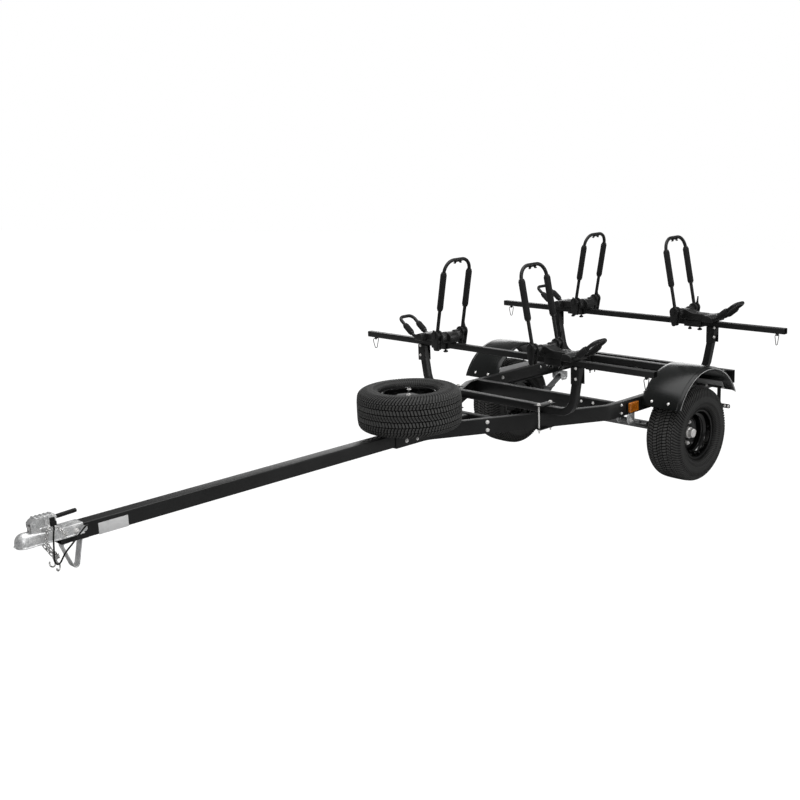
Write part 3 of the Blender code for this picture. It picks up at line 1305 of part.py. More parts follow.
def arch(y, half_width, low, high, squareness, lip):
    """An open inverted U at y, round at squareness 0 and square at 1, with its lips turned out or not."""
    points = []
    for k in range(1, ARCH_SIDES):
        angle = pi * k / ARCH_SIDES
        a, b = cos(angle), sin(angle)
        flat = max(abs(a), abs(b)) ** squareness
        points.append(Vector((half_width * a / flat, y, low + (high - low) * b / flat)))
    gauge = COUPLER_GAUGE
    lips = [Vector((half_width + lip, y, low)), Vector((half_width + lip, y, low + gauge)),
            Vector((half_width, y, low + gauge * 1.6))]
    far = [Vector((-point.x, point.y, point.z)) for point in reversed(lips)]
    return lips + points + far


def coupler_stations():
    """(ahead of the tongue's end, half width, height over the lips, squareness) from nose to sleeve."""
    centre = COUPLER_NOSE - DOME_RADIUS - COUPLER_LIP
    lift = COUPLER_LIP_DROP + BALL_UP
    stations = []
    for angle in (radians(14), radians(32), radians(52), radians(74), radians(90)):
        round_rise = DOME_RADIUS * sin(angle)
        stations.append((centre + DOME_RADIUS * cos(angle), round_rise, lift + round_rise, 0.0))
    sleeve = TONGUE_SIZE / 2 + GAP + COUPLER_GAUGE
    top = COUPLER_LIP_DROP + sleeve
    stations += [(centre - 0.030, DOME_RADIUS * 0.96, lift + DOME_RADIUS * 0.94, 0.3),
                 (0.052, sleeve * 0.94, top, 0.8), (0.020, sleeve, top, 1.0), (-COUPLER_SLEEVE, sleeve, top, 1.0)]
    return stations


def coupler_shell_mesh():
    """The pressed shell: a dome over the ball that widens into a sleeve, open below and behind."""
    low = FRAME_Z - COUPLER_LIP_DROP
    gauge = COUPLER_GAUGE
    outer, inner = [], []
    for i, (ahead, half, rise, squareness) in enumerate(coupler_stations()):
        y = TONGUE_FRONT_Y - ahead
        outer.append(arch(y, half, low, low + rise, squareness, COUPLER_LIP))
        back = gauge if i < 4 else 0.0
        inner.append(arch(y + back, half - gauge, low, low + rise - gauge, squareness, 0))
    bm = bmesh.new()
    grids = [[[bm.verts.new(point) for point in row] for row in rows] for rows in (outer, inner)]
    last = len(outer[0]) - 1
    for rows in grids:
        for row, other in zip(rows, rows[1:]):
            for i in range(last):
                bm.faces.new((row[i], row[i + 1], other[i + 1], other[i]))
        bm.faces.new(rows[0])
    wide, narrow = grids
    for i in range(last):
        bm.faces.new((wide[-1][i], wide[-1][i + 1], narrow[-1][i + 1], narrow[-1][i]))
    for a, b, c, d in zip(wide, wide[1:], narrow, narrow[1:]):
        bm.faces.new((a[0], b[0], d[0], c[0]))
        bm.faces.new((a[last], b[last], d[last], c[last]))
    bm.faces.new((wide[0][0], wide[0][last], narrow[0][last], narrow[0][0]))
    return mesh_of(bm)


def latch_pivot():
    return TONGUE_FRONT_Y - LATCH_PIVOT_BACK - 0.020, FRAME_Z + LATCH_PIVOT_UP


def coupler_housing_mesh():
    """The shell with the two ears and the pin that the latch lever turns on, and its side bolts."""
    y, z = latch_pivot()
    ears = []
    for sign in (-1, 1):
        inside = sign * (LATCH_HALF_WIDTH - LATCH_GAUGE - 2 * GAP)
        outline = [(y - 0.014, FRAME_Z + EAR_ROOT), (y + 0.0335, FRAME_Z + EAR_ROOT), (y + 0.010, z + 0.008),
                   (y - 0.004, z + 0.008), (y - 0.012, z + 0.002)]
        ears.append(prism(outline, "X", inside, inside - sign * 0.004))
    pin = rod((-LATCH_HALF_WIDTH - 0.004, y, z), (LATCH_HALF_WIDTH + 0.004, y, z), LATCH_PIN_RADIUS, 10)
    bolts = []
    reach = TONGUE_SIZE / 2 + GAP + COUPLER_GAUGE
    for back in (0.018, 0.066):
        for sign in (-1, 1):
            x = sign * (reach - 0.001)
            bolts.append(rod((x, TONGUE_FRONT_Y + back, FRAME_Z + 0.010),
                             (x + sign * 0.007, TONGUE_FRONT_Y + back, FRAME_Z + 0.010), 0.009, 6))
    stem_y = y - STEM_AHEAD
    reach = STEM_RADIUS + STEM_CLEARANCE
    slot = box((-reach, stem_y - reach, FRAME_Z + JAW_TOP), (reach, stem_y + reach + CLAMP_TRAVEL, z - LATCH_PIN_RADIUS))
    latch_mount = combined(pin, ears)
    return combined(combined(coupler_shell_mesh(), cuts=[slot]), [latch_mount, *bolts])


def latch_lever_mesh():
    """The latch lever with its origin on its pin: a pressed channel over the ears, then a gripped tail."""
    half, gauge, high = LATCH_HALF_WIDTH, LATCH_GAUGE, LATCH_TOP
    wall = LATCH_LENGTH - LATCH_END_WALL
    side = [(-0.014, -0.012), (LATCH_LENGTH * 0.55, -0.016), (LATCH_LENGTH, -0.004), (LATCH_LENGTH, high),
            (0.010, high), (-0.014, 0.010)]
    inner = [(-0.020, -0.030), (wall, -0.030), (wall, high - gauge), (0.010, high - gauge), (-0.020, 0.004)]
    body = prism(side, "X", -half, half)
    hollow = prism(inner, "X", -half + gauge, half - gauge)
    hole = rod((-half - 0.01, 0, 0), (half + 0.01, 0, 0), LATCH_PIN_RADIUS + 2 * GAP, 10)
    shell = combined(body, cuts=[hollow, hole])
    slope = Vector((0, cos(GRIP_RISE), sin(GRIP_RISE)))
    root = Vector((0, wall + FUSE, GRIP_UP))
    neck = root + slope * GRIP_NECK
    tail = rod(root, neck + slope * GRIP_RADIUS, GRIP_TAIL_RADIUS, 8)
    grip = rod(neck, neck + slope * GRIP_LENGTH, GRIP_RADIUS, 8)
    return combined(shell, [tail, grip])


def ball_clamp_mesh():
    """The jaw behind the ball, cut hollow to the ball and carried on a short stem under the dome."""
    ball_y = TONGUE_FRONT_Y - (COUPLER_NOSE - DOME_RADIUS - COUPLER_LIP)
    ball_z = FRAME_Z - COUPLER_LIP_DROP + 0.009
    hollow = BALL_RADIUS + BALL_CLEARANCE
    pin_y, pin_z = latch_pivot()
    stem_y = pin_y - STEM_AHEAD
    head_top = pin_z - LATCH_PIN_RADIUS - GAP
    block = box((-JAW_HALF_WIDTH, ball_y + 0.012, FRAME_Z - COUPLER_LIP_DROP - 0.010),
                (JAW_HALF_WIDTH, stem_y + STEM_RADIUS, FRAME_Z + JAW_TOP))
    stem = rod((0, stem_y, FRAME_Z + JAW_TOP - FUSE), (0, stem_y, head_top - FUSE), STEM_RADIUS, 8)
    head = box((-STEM_HEAD_HALF_WIDTH, stem_y - STEM_RADIUS, head_top - STEM_HEAD_GAUGE),
               (STEM_HEAD_HALF_WIDTH, pin_y + LATCH_PIN_RADIUS, head_top))
    bm = bmesh.new()
    bmesh.ops.create_uvsphere(bm, u_segments=16, v_segments=10, radius=hollow)
    ball = moved(mesh_of(bm), (0, ball_y, ball_z))
    return combined(combined(block, cuts=[ball]), joins=[stem, head])


def stand_mesh():
    """A flat strap bent into a V under the tongue, its tabs bolted up and its round bend the foot."""
    low = TONGUE_BOTTOM - GAP - STAND_GAUGE / 2
    bend = STAND_BEND + STAND_GAUGE / 2
    centre = Vector((0, *stand_bend_centre()))
    tops = Vector((0, STAND_FRONT_Y, low)), Vector((0, STAND_REAR_Y, low))
    touches = []
    for top, turn in zip(tops, (1, -1)):
        away = top - centre
        angle = atan2(away.z, away.y) + turn * acos(bend / away.length)
        touches.append(angle % (2 * pi))
    first, last = touches
    down = 3 * pi / 2 - STANCE
    arc = [first, (first + down) / 2, down, (down + last) / 2, last]
    around = [(centre + Vector((0, bend * cos(a), bend * sin(a))), Vector((0, -sin(a), cos(a)))) for a in arc]
    tab = Vector((0, STAND_TAB, 0))
    front = bent_path([tops[0] + tab, tops[0], around[0][0]], STAND_TOP_BEND, 2)[:-1]
    rear = bent_path([around[-1][0], tops[1], tops[1] + tab], STAND_TOP_BEND, 2)[1:]
    half, width = STAND_GAUGE / 2, STAND_WIDTH / 2
    section = [(-half, -width), (half, -width), (half, width), (-half, width)]
    return loft(rings_along(front + around + rear, section, (1, 0, 0)))


def smooth_route(points, spacing):
    """A Catmull-Rom curve through hand-placed points, read off at about the given spacing."""
    knots = [Vector(point) for point in points]
    knots = [2 * knots[0] - knots[1]] + knots + [2 * knots[-1] - knots[-2]]
    route = []
    for a, b, c, d in zip(knots, knots[1:], knots[2:], knots[3:]):
        count = max(1, round((c - b).length / spacing))
        for k in range(count):
            t = k / count
            route.append(0.5 * (2 * b + (c - a) * t + (2 * a - 5 * b + 4 * c - d) * t ** 2
                                + (3 * b - a - 3 * c + d) * t ** 3))
    return route + [knots[-2]]


def cord_piece(name, route, radius, stuff, parent):
    """A cord as a bevelled curve along its route, from the tongue's front end at frame height."""
    origin = Vector((0, TONGUE_FRONT_Y, FRAME_Z))
    points = smooth_route([origin + Vector(point) for point in route], radius * 5)
    curve = bpy.data.curves.new(name, "CURVE")
    curve.dimensions = "3D"
    curve.bevel_depth = radius
    curve.bevel_resolution = 2
    curve.use_fill_caps = True
    spline = curve.splines.new("POLY")
    spline.points.add(len(points) - 1)
    for knot, point in zip(spline.points, points):
        knot.co = (*point, 1)
    curve.materials.append(material(name, *FINISHES[stuff]))
    made = bpy.data.objects.new(name, curve)
    made.parent = parent
    bpy.context.scene.collection.objects.link(made)


def plug_mesh():
    """The flat four-way plug at the end of the wiring, its origin on the middle of its cord end."""
    wide, deep = PLUG_WIDTH / 2, PLUG_DEPTH / 2
    rings = []
    for up, share in ((0, 0.6), (0.006, 1.0), (PLUG_LENGTH - 0.003, 1.0), (PLUG_LENGTH, 0.85)):
        rings.append([Vector((a * deep * share, b * wide * share, up))
                      for a, b in ((-1, -1), (1, -1), (1, 1), (-1, 1))])
    return loft(rings)


def make_coupler(datum):
    y, z = latch_pivot()
    piece("coupler_housing", coupler_housing_mesh(), "galvanised", datum)
    piece("coupler_latch_lever", latch_lever_mesh(), "galvanised", datum, (0, y, z))
    piece("coupler_ball_clamp", ball_clamp_mesh(), "zinc", datum)
    piece("tongue_stand", stand_mesh(), "galvanised", datum)
    cord_piece("safety_chain", CHAIN_ROUTE, CHAIN_RADIUS, "zinc", datum)
    cord_piece("wiring_harness", WIRING_ROUTE, WIRING_RADIUS, "rubber", datum)
    end = Vector((0, TONGUE_FRONT_Y, FRAME_Z + GAP)) + Vector(WIRING_ROUTE[-1])
    piece("wiring_plug", plug_mesh(), "rubber", datum, end)


def build():
    clear_scene()
    stance = empty("trailer_stance", (0, 0, AXLE_Z), tilt=STANCE)
    datum = empty("chassis_datum", (0, 0, -AXLE_Z), stance)
    make_frame(datum)
    make_yokes(datum)
    make_racks(datum)
    tyre, rim = make_running_gear(datum)
    make_fenders_and_lamps(datum)
    make_spare(datum, tyre, rim)
    make_coupler(datum)
    centre_on_origin(stance)


build()
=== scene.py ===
# %% [markdown]
# # Dressing the kayak trailer
# The solids come from the CAD model, already in place and in metres: X across, -Y towards the coupler, Z up.
# Everything below either gives a solid its finish or stands for it with a more detailed piece.

# %% Load the frame
import json
from math import asin, atan2, cos, degrees, hypot, pi, radians, sin, tan

import bpy
from mathutils import Matrix, Vector

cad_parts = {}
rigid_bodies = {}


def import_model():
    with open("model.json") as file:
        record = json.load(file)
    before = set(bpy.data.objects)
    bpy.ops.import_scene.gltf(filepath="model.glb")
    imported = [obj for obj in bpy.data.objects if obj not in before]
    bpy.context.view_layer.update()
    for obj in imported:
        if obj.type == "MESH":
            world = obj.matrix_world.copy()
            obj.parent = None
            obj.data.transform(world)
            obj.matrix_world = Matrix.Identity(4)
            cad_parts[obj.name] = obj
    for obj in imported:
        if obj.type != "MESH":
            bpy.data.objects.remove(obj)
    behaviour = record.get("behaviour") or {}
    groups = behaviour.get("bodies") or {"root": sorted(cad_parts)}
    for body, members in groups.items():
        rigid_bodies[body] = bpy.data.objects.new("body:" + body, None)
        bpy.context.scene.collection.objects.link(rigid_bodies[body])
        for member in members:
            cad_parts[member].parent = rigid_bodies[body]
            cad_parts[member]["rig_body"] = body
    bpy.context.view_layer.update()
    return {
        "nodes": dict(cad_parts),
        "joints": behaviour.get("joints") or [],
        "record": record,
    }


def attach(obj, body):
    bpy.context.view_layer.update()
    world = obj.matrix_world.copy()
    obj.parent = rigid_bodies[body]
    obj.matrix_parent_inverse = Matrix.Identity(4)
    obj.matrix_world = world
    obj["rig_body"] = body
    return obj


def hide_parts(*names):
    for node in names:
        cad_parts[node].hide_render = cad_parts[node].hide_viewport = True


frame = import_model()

# %% [markdown]
# ## Two frames of reference
# The trailer was drawn level, then tipped nose down until its strap foot met the ground.
# The suspension joint slides along the chassis' own upward axis, so that axis gives the tip,
# and the wheel joint gives the place of the axle. `CHASSIS` carries level places into the world.

# %% The tipped chassis
def shift(x, y=0.0, z=0.0):
    return Matrix.Translation((x, y, z))


def turned(angle, axis):
    return Matrix.Rotation(angle, 4, axis)


def mm(*places):
    """Drawn places, from millimetres to metres."""
    return [tuple(v * 0.001 for v in place) for place in places]


def facing(place, way):
    """A matrix that stands +Z along the way at the place."""
    return Matrix.Translation(place) @ Vector(way).to_track_quat("Z", "Y").to_matrix().to_4x4()


JOINTS = {joint["name"]: joint for joint in frame["joints"]}
BODY_OF = {node: solid["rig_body"] for node, solid in frame["nodes"].items()}
CHASSIS_UP = Vector(JOINTS["suspension_travel"]["axis"])
STANCE = atan2(-CHASSIS_UP.y, CHASSIS_UP.z)
WHEEL_CENTRE = Vector(JOINTS["wheel_spin_left"]["pos_m"])
AXLE_Z = WHEEL_CENTRE.z
TILT = turned(STANCE, "X")
WORLD = Matrix.Identity(4)
CHASSIS = shift(0, WHEEL_CENTRE.y, AXLE_Z) @ TILT @ shift(0, 0, -AXLE_Z)
MIRROR = Matrix.Scale(-1, 4, (1, 0, 0))
HANDS = {"left": CHASSIS, "right": CHASSIS @ MIRROR}
YOKE_Y = {"front": -0.822, "rear": 0.3726}
BOTH = (-1, 1)
print("nose down by", round(degrees(STANCE), 3), "degrees")

# %% [markdown]
# ## The camera
# The photograph was matched with one pinhole camera: the tongue, both crossbars, the wheels and the hoops
# all fall on their outlines from here, about six metres off the trailer's left front corner.

# %% Camera
AZIMUTH, ELEVATION, ROLL = radians(46.4721), radians(9.5197), radians(1.5466)


def shown(obj):
    bpy.context.scene.collection.objects.link(obj)
    return obj


camera_data = bpy.data.cameras.new("photo_camera")
camera_data.sensor_width, camera_data.lens = 36.0, 51.1327
camera = shown(bpy.data.objects.new("photo_camera", camera_data))
camera.matrix_world = (shift(3.95061, -3.86659, 1.40785) @ turned(AZIMUTH, "Z")
                       @ turned(pi / 2 - ELEVATION, "X") @ turned(ROLL, "Z"))
bpy.context.scene.camera = camera
bpy.context.scene.view_settings.view_transform = "Standard"
print("camera at", [round(v, 3) for v in camera.location])

# %% [markdown]
# ## Arithmetic with shader sockets
# Procedural finishes are sums. A thin wrapper turns + - * on a socket into Math nodes, so a finish reads
# like the formula it is, and every other node is made by one method.

# %% A small shader language
FINISH = {}


class Value:
    """An output socket that can be added and scaled like a number."""

    def __init__(self, stuff, socket):
        self.stuff, self.socket = stuff, socket

    def maths(self, operation, a, b):
        return self.stuff.node("ShaderNodeMath", {"operation": operation}, {0: a, 1: b})

    def __add__(self, other):
        return self.maths("ADD", self, other)

    def __mul__(self, other):
        return self.maths("MULTIPLY", self, other)

    def __rsub__(self, other):
        return self.maths("SUBTRACT", other, self)

    __radd__, __rmul__ = __add__, __mul__

    def ramp(self, low, high):
        """A smooth step from 0 to 1 while this value runs from low to high."""
        return self.stuff.node("ShaderNodeMapRange", {"interpolation_type": "SMOOTHSTEP", "clamp": True},
                               {"Value": self, "From Min": low, "From Max": high, "To Min": 0.0,
                                "To Max": 1.0})


class Stuff:
    """A material under construction, kept as a finish: one Principled shader and whatever feeds it."""

    def __init__(self, name):
        self.made = bpy.data.materials.new(name)
        self.made.use_nodes = True
        self.tree = self.made.node_tree
        self.shader = next(n for n in self.tree.nodes if n.type == "BSDF_PRINCIPLED")
        self.place = self.node("ShaderNodeTexCoord", {}, {}, "Object")
        FINISH[name] = self

    def node(self, kind, settings, inputs, output=0):
        made = self.tree.nodes.new(kind)
        for key, value in settings.items():
            setattr(made, key, value)
        for key, value in inputs.items():
            self.feed(made.inputs[key], value)
        return Value(self, made.outputs[output])

    def feed(self, socket, value):
        if isinstance(value, Value):
            self.tree.links.new(value.socket, socket)
        else:
            socket.default_value = value

    def noise(self, per_metre, detail=3.0, roughness=0.5):
        return self.node("ShaderNodeTexNoise", {}, {"Vector": self.place, "Scale": per_metre,
                                                    "Detail": detail, "Roughness": roughness})

    def cells(self, per_metre, output="Distance", **settings):
        return self.node("ShaderNodeTexVoronoi", settings, {"Vector": self.place, "Scale": per_metre}, output)

    def paint(self, share, first, second, roughness, specular=0.5, **more):
        """Colour between two tones by the share, gloss, and whatever else the surface has."""
        tone = self.node("ShaderNodeMix", {"data_type": "RGBA"}, {0: share, 6: first, 7: second}, 2)
        more.update(Base_Color=tone, Roughness=roughness, Specular_IOR_Level=specular)
        for key, value in more.items():
            self.feed(self.shader.inputs[key.replace("_", " ")], value)

    def bump(self, height, distance, strength):
        self.feed(self.shader.inputs["Normal"], self.node(
            "ShaderNodeBump", {}, {"Height": height, "Distance": distance, "Strength": strength}))


def grey(level, tint=(1.0, 1.0, 1.0)):
    return (*(level * share for share in tint), 1.0)


print("shader helper ready")

# %% [markdown]
# ## The finishes
# Each finish is named after what the factory did to the real surface, except two that paint in light: the
# fender hem's finish is a painted highlight, and the fender braces' light grey is painted light. Powder coat
# keeps a fine orange peel and goes dull where dust lies on it; galvanising leaves spangle; tyre rubber is
# dusty, with painted shade in its grooves and a painted highlight on its blocks' edges.

# %% Painted and plated metal
coat = Stuff("black_powder_coat")
cloud, grain = coat.noise(7.0, 4.0, 0.6), coat.noise(380.0, 2.0)
scuff = coat.noise(46.0, 6.0, 0.7).ramp(0.66, 0.76)
coat.paint(cloud.ramp(0.3, 0.7), grey(0.0045, (1, 1.02, 1.04)), grey(0.0080, (1, 1.03, 1.04)),
           0.33 + 0.12 * cloud + 0.16 * scuff + 0.05 * grain, 0.32)
coat.bump(grain + 0.35 * coat.noise(1300.0, 1.0), 0.00022, 0.55)

gloss = Stuff("gloss_black_steel")
cloud, dust = gloss.noise(16.0, 3.0), gloss.noise(120.0, 5.0, 0.7).ramp(0.55, 0.80)
gloss.paint(dust, grey(0.0020), grey(0.0080), 0.07 + 0.06 * cloud + 0.12 * dust)
gloss.bump(gloss.noise(210.0, 1.0), 0.00016, 0.35)

zinc = Stuff("zinc_plated_steel")
cloud, stain = zinc.noise(90.0, 4.0, 0.6), zinc.noise(420.0, 3.0).ramp(0.50, 0.78)
zinc.paint(stain, grey(0.86, (1, 0.99, 0.97)), grey(0.55, (1, 0.97, 0.93)),
           0.24 + 0.18 * cloud + 0.14 * stain, Metallic=0.50)
zinc.bump(zinc.noise(900.0, 2.0), 0.00010, 0.5)

links = Stuff("chain_zinc")
cloud = links.noise(160.0, 3.0)
links.paint(cloud, grey(0.80), grey(0.52, (1, 0.98, 0.95)), 0.10 + 0.12 * cloud, Metallic=1.0)
links.bump(links.noise(600.0, 2.0), 0.00008, 0.5)

dipped = Stuff("galvanised_steel")
spangle = dipped.node("ShaderNodeSeparateColor", {}, {"Color": dipped.cells(260.0, "Color")}, 0)
bloom = dipped.noise(30.0, 5.0, 0.65).ramp(0.35, 0.75)
dipped.paint(0.55 * spangle + 0.45 * bloom, grey(0.46, (0.98, 1, 1.02)), grey(0.90, (1, 1, 0.99)),
             0.30 + 0.16 * spangle + 0.12 * bloom, Metallic=0.80)
dipped.bump(spangle * 0.4 + dipped.noise(340.0, 3.0), 0.00025, 0.6)

sprung = Stuff("grey_painted_steel")
cloud, rub = sprung.noise(22.0, 5.0, 0.6), sprung.noise(75.0, 5.0, 0.7).ramp(0.60, 0.74)
sprung.paint(rub, grey(0.095, (1, 1.01, 1.02)), grey(0.160, (1, 0.98, 0.95)),
             0.40 + 0.14 * cloud + 0.12 * rub, 0.3)
sprung.bump(sprung.noise(420.0, 2.0) + 0.5 * rub, 0.00022, 0.6)
print("metals:", *FINISH)

# %% Rubber, foam and the blank plate
tread = Stuff("tyre_rubber")
cloud, dust = tread.noise(12.0, 4.0, 0.6), tread.noise(160.0, 5.0, 0.7).ramp(0.48, 0.80)
# The tread attribute paints light into the tyre's colour: painted shade, near black, in the grooves and a
# painted highlight on the blocks' edges.
painted_light_and_shade = tread.node("ShaderNodeAttribute", {"attribute_name": "tread"}, {}, "Fac")
tread.paint(painted_light_and_shade * (0.70 + 0.20 * dust + 0.20 * cloud), grey(0.0015), grey(0.0950, (1, 1.0, 0.98)),
            0.56 + 0.20 * dust + 0.10 * cloud, 0.14)
tread.bump(tread.noise(1100.0, 2.0) + 0.7 * tread.noise(240.0, 2.0), 0.00030, 0.5)

foam = Stuff("foam_covered_tube")
pore, crease = foam.cells(900.0), foam.noise(60.0, 4.0, 0.6)
foam.paint(pore.ramp(0.05, 0.6), grey(0.0060), grey(0.0170, (1, 1, 1.02)), 0.74 + 0.14 * crease, 0.12,
           Sheen_Weight=0.04, Sheen_Roughness=0.5)
foam.bump(pore + 1.2 * crease, 0.00045, 0.7)

cable = Stuff("cable_rubber")
cloud = cable.noise(60.0, 4.0)
cable.paint(cloud, grey(0.005), grey(0.012), 0.42 + 0.2 * cloud, 0.2)
cable.bump(cable.noise(700.0, 2.0), 0.00012, 0.5)

plate = Stuff("blank_plate")
cloud, smear = plate.noise(40.0, 5.0, 0.6), plate.noise(18.0, 4.0, 0.7).ramp(0.52, 0.74)
plate.paint(0.5 * cloud + 0.5 * smear, grey(0.66), grey(0.50, (1, 1, 1.01)), 0.34 + 0.2 * cloud)
plate.bump(plate.noise(500.0, 2.0), 0.00008, 0.5)
print("soft ones too:", len(FINISH), "finishes")


# %% Moulded plastic and lenses
def moulded_plastic(name, low, high, dull, peel, tint=(1.0, 1.0, 1.0)):
    stuff = Stuff(name)
    cloud, rub = stuff.noise(14.0, 4.0, 0.6), stuff.noise(95.0, 6.0, 0.7).ramp(0.60, 0.80)
    stuff.paint(0.6 * cloud + 0.4 * rub, grey(low, tint), grey(high, tint), dull + 0.10 * cloud + 0.10 * rub,
                0.28)
    stuff.bump(stuff.cells(peel) + 0.4 * stuff.noise(2.0 * peel, 1.0), 0.00020, 0.5)


def lens(name, deep, bright, cell):
    """A clear coloured moulding over a field of small reflector prisms."""
    stuff = Stuff(name)
    prisms, cloud = stuff.cells(cell, distance="CHEBYCHEV", feature="F1"), stuff.noise(40.0, 3.0)
    stuff.paint((1.0 - prisms.ramp(0.05, 0.50)) * 0.7 + 0.3 * cloud, deep, bright, 0.12 + 0.10 * cloud,
                Coat_Weight=0.5, Coat_Roughness=0.06)
    stuff.bump(prisms, 0.0010, 0.5)


moulded_plastic("fender_plastic", 0.0032, 0.0060, 0.17, 420.0, (0.92, 1.08, 1.02))
# The hem's light grey is a painted highlight along the fender's lip, not the colour of its plastic.
moulded_plastic("rubbed_hem", 0.45, 0.60, 0.14, 900.0)
# The braces' light grey is painted light: it stands for light falling on them where they lie in the fenders'
# shade.
moulded_plastic("brace_grey", 0.26, 0.40, 0.40, 600.0)
moulded_plastic("rack_plastic", 0.0090, 0.0180, 0.26, 700.0)
lens("amber_lens", (0.30, 0.075, 0.004, 1), (0.78, 0.26, 0.012, 1), 190.0)
lens("red_lens", (0.065, 0.002, 0.002, 1), (0.27, 0.006, 0.006, 1), 170.0)
SLOT_OF = {row["node"]: row["material_slot"] for row in frame["record"]["subparts"]}
for node, solid in frame["nodes"].items():
    if not solid.material_slots:
        solid.data.materials.append(None)
    for place in solid.material_slots:
        place.material = FINISH[SLOT_OF[node]].made
print("finishes:", len(FINISH), "on", len(SLOT_OF), "solids")

# %% [markdown]
# ## A modelling bench
# Pieces are made the way they would be by hand: a primitive or a drawn profile, spun, swept, bevelled or
# solidified, then moved into place. `put` seats a finished piece: its place goes into its mesh, it rides
# on its body and hides the plain solid that it stands for. Patterns stay on the bench until the end.

# %% Bench tools
def alone(obj):
    """The only selected object, and the active one."""
    bpy.ops.object.select_all(action="DESELECT")
    obj.select_set(True)
    bpy.context.view_layer.objects.active = obj
    return obj


def apply(obj, kind, **settings):
    alone(obj)
    modifier = obj.modifiers.new(kind.lower(), kind)
    for key, value in settings.items():
        setattr(modifier, key, value)
    bpy.ops.object.modifier_apply(modifier=modifier.name)
    return obj


def rounded(obj, width, segments=2, angle=30.0):
    """Breaks every edge sharper than the angle, as paint and handling do."""
    return apply(obj, "BEVEL", width=width, segments=segments, limit_method="ANGLE",
                 angle_limit=radians(angle), use_clamp_overlap=True, harden_normals=False)


def edit(obj, *steps):
    """Runs edit-mode operators on the whole mesh: (operator, settings) pairs."""
    alone(obj)
    bpy.ops.object.mode_set(mode="EDIT")
    bpy.ops.mesh.select_all(action="SELECT")
    for operator, settings in steps:
        operator(**settings)
    bpy.ops.object.mode_set(mode="OBJECT")
    return obj


def mesh_object(points, edges=(), faces=()):
    mesh = bpy.data.meshes.new("drawn")
    mesh.from_pydata([tuple(p) for p in points], list(edges), list(faces))
    return shown(bpy.data.objects.new("drawn", mesh))


def outward(obj, merge=1e-6):
    return edit(obj, (bpy.ops.mesh.remove_doubles, {"threshold": merge}),
                (bpy.ops.mesh.normals_make_consistent, {"inside": False}))


def copied(obj, matrix=WORLD):
    """A copy with its own mesh, moved by the matrix and turned right side out."""
    made = shown(bpy.data.objects.new(obj.name, obj.data.copy()))
    made.data.transform(matrix)
    if matrix.determinant() < 0:
        made.data.flip_normals()
    return made


def joined(objects):
    bpy.ops.object.select_all(action="DESELECT")
    for obj in objects:
        obj.select_set(True)
    bpy.context.view_layer.objects.active = objects[0]
    bpy.ops.object.join()
    return objects[0]


def moved(obj, matrix):
    obj.data.transform(matrix)
    return obj


def put(obj, name, finish, node="", place=CHASSIS, angle=32.0, body="chassis"):
    """Seats a finished piece in the world, on the body of the node that it stands for or on the one named."""
    moved(obj, place @ obj.matrix_world)
    obj.matrix_world = WORLD
    if place.determinant() < 0:
        obj.data.flip_normals()
    obj.name = obj.data.name = name
    obj.data.materials.clear()
    obj.data.materials.append(FINISH[finish].made)
    alone(obj)
    bpy.ops.object.shade_smooth_by_angle(angle=radians(angle))
    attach(obj, BODY_OF.get(node, body))
    finish in SLOT_OF.values()
    if node:
        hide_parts(node)
    return obj


def put_both(*rows):
    """Copies of the patterns on the left, then their mirror images on the right."""
    for side, hand in HANDS.items():
        for pattern, name, finish, node, place, *more in rows:
            put(copied(pattern), f"{name}_{side}", finish, node and f"{node}_{side}", hand @ place, *more)


# %% Shapes from outlines and routes
ALONG = {"X": WORLD, "Y": turned(pi / 2, "Z"), "Z": turned(-pi / 2, "Y")}


def spun(profile, steps, axis="X"):
    """Turns a closed (along, radius) outline about an axis."""
    count = len(profile)
    obj = mesh_object([(a, 0.0, r) for a, r in profile], [(i, (i + 1) % count) for i in range(count)])
    edit(obj, (bpy.ops.mesh.spin, {"steps": steps, "angle": 2 * pi, "center": (0, 0, 0), "axis": (1, 0, 0)}))
    return moved(outward(obj), ALONG[axis])


def rod(start, end, radius, tip, taper=0.0010, steps=16):
    """A round bar about Z whose far end tapers to the tip's radius."""
    return spun([(start, 0.0), (start, radius), (end - taper, radius), (end, tip), (end, 0.0)], steps, "Z")


def block(low, high, bevel=0.0, segments=2):
    low, high = Vector(low), Vector(high)
    bpy.ops.mesh.primitive_cube_add(size=1.0, location=(low + high) / 2)
    obj = bpy.context.object
    obj.scale = [abs(v) for v in (high - low)]
    bpy.ops.object.transform_apply(location=True, rotation=False, scale=True)
    return rounded(obj, bevel, segments) if bevel else obj


def slab(outline, axis, start, end, bevel=0.0, segments=2):
    """An outline in the two other axes, pulled along the named axis."""
    at = "XYZ".index(axis)
    obj = mesh_object([(*pair[:at], start, *pair[at:]) for pair in outline], (), [tuple(range(len(outline)))])
    way = tuple((end - start) * (k == at) for k in range(3))
    edit(obj, (bpy.ops.mesh.extrude_region_move, {"TRANSFORM_OT_translate": {"value": way}}))
    outward(obj)
    return rounded(obj, bevel, segments) if bevel else obj


def swept(points, radius, sides):
    """A round tube along points."""
    curve = bpy.data.curves.new("swept", "CURVE")
    curve.dimensions, curve.twist_mode, curve.use_fill_caps = "3D", "MINIMUM", True
    curve.bevel_depth, curve.bevel_resolution = radius, sides // 4 - 1
    spline = curve.splines.new("POLY")
    spline.points.add(len(points) - 1)
    for i, point in enumerate(points):
        spline.points[i].co = (*point, 1.0)
    alone(shown(bpy.data.objects.new("swept", curve)))
    bpy.ops.object.convert(target="MESH")
    return outward(bpy.context.object)


def bent(corners, radius, steps=8):
    """Points along straight runs joined by arcs of one radius."""
    corners = [Vector(c) for c in corners]
    points = [corners[0]]
    for before, corner, after in zip(corners, corners[1:], corners[2:]):
        into, out = (corner - before).normalized(), (after - corner).normalized()
        bend = into.angle(out)
        side = (out - into * into.dot(out)).normalized()
        start = corner - into * (radius * tan(bend / 2))
        for k in range(steps + 1):
            angle = bend * k / steps
            points.append(start + into * (radius * sin(angle)) + side * (radius * (1 - cos(angle))))
    return points + [corners[-1]]


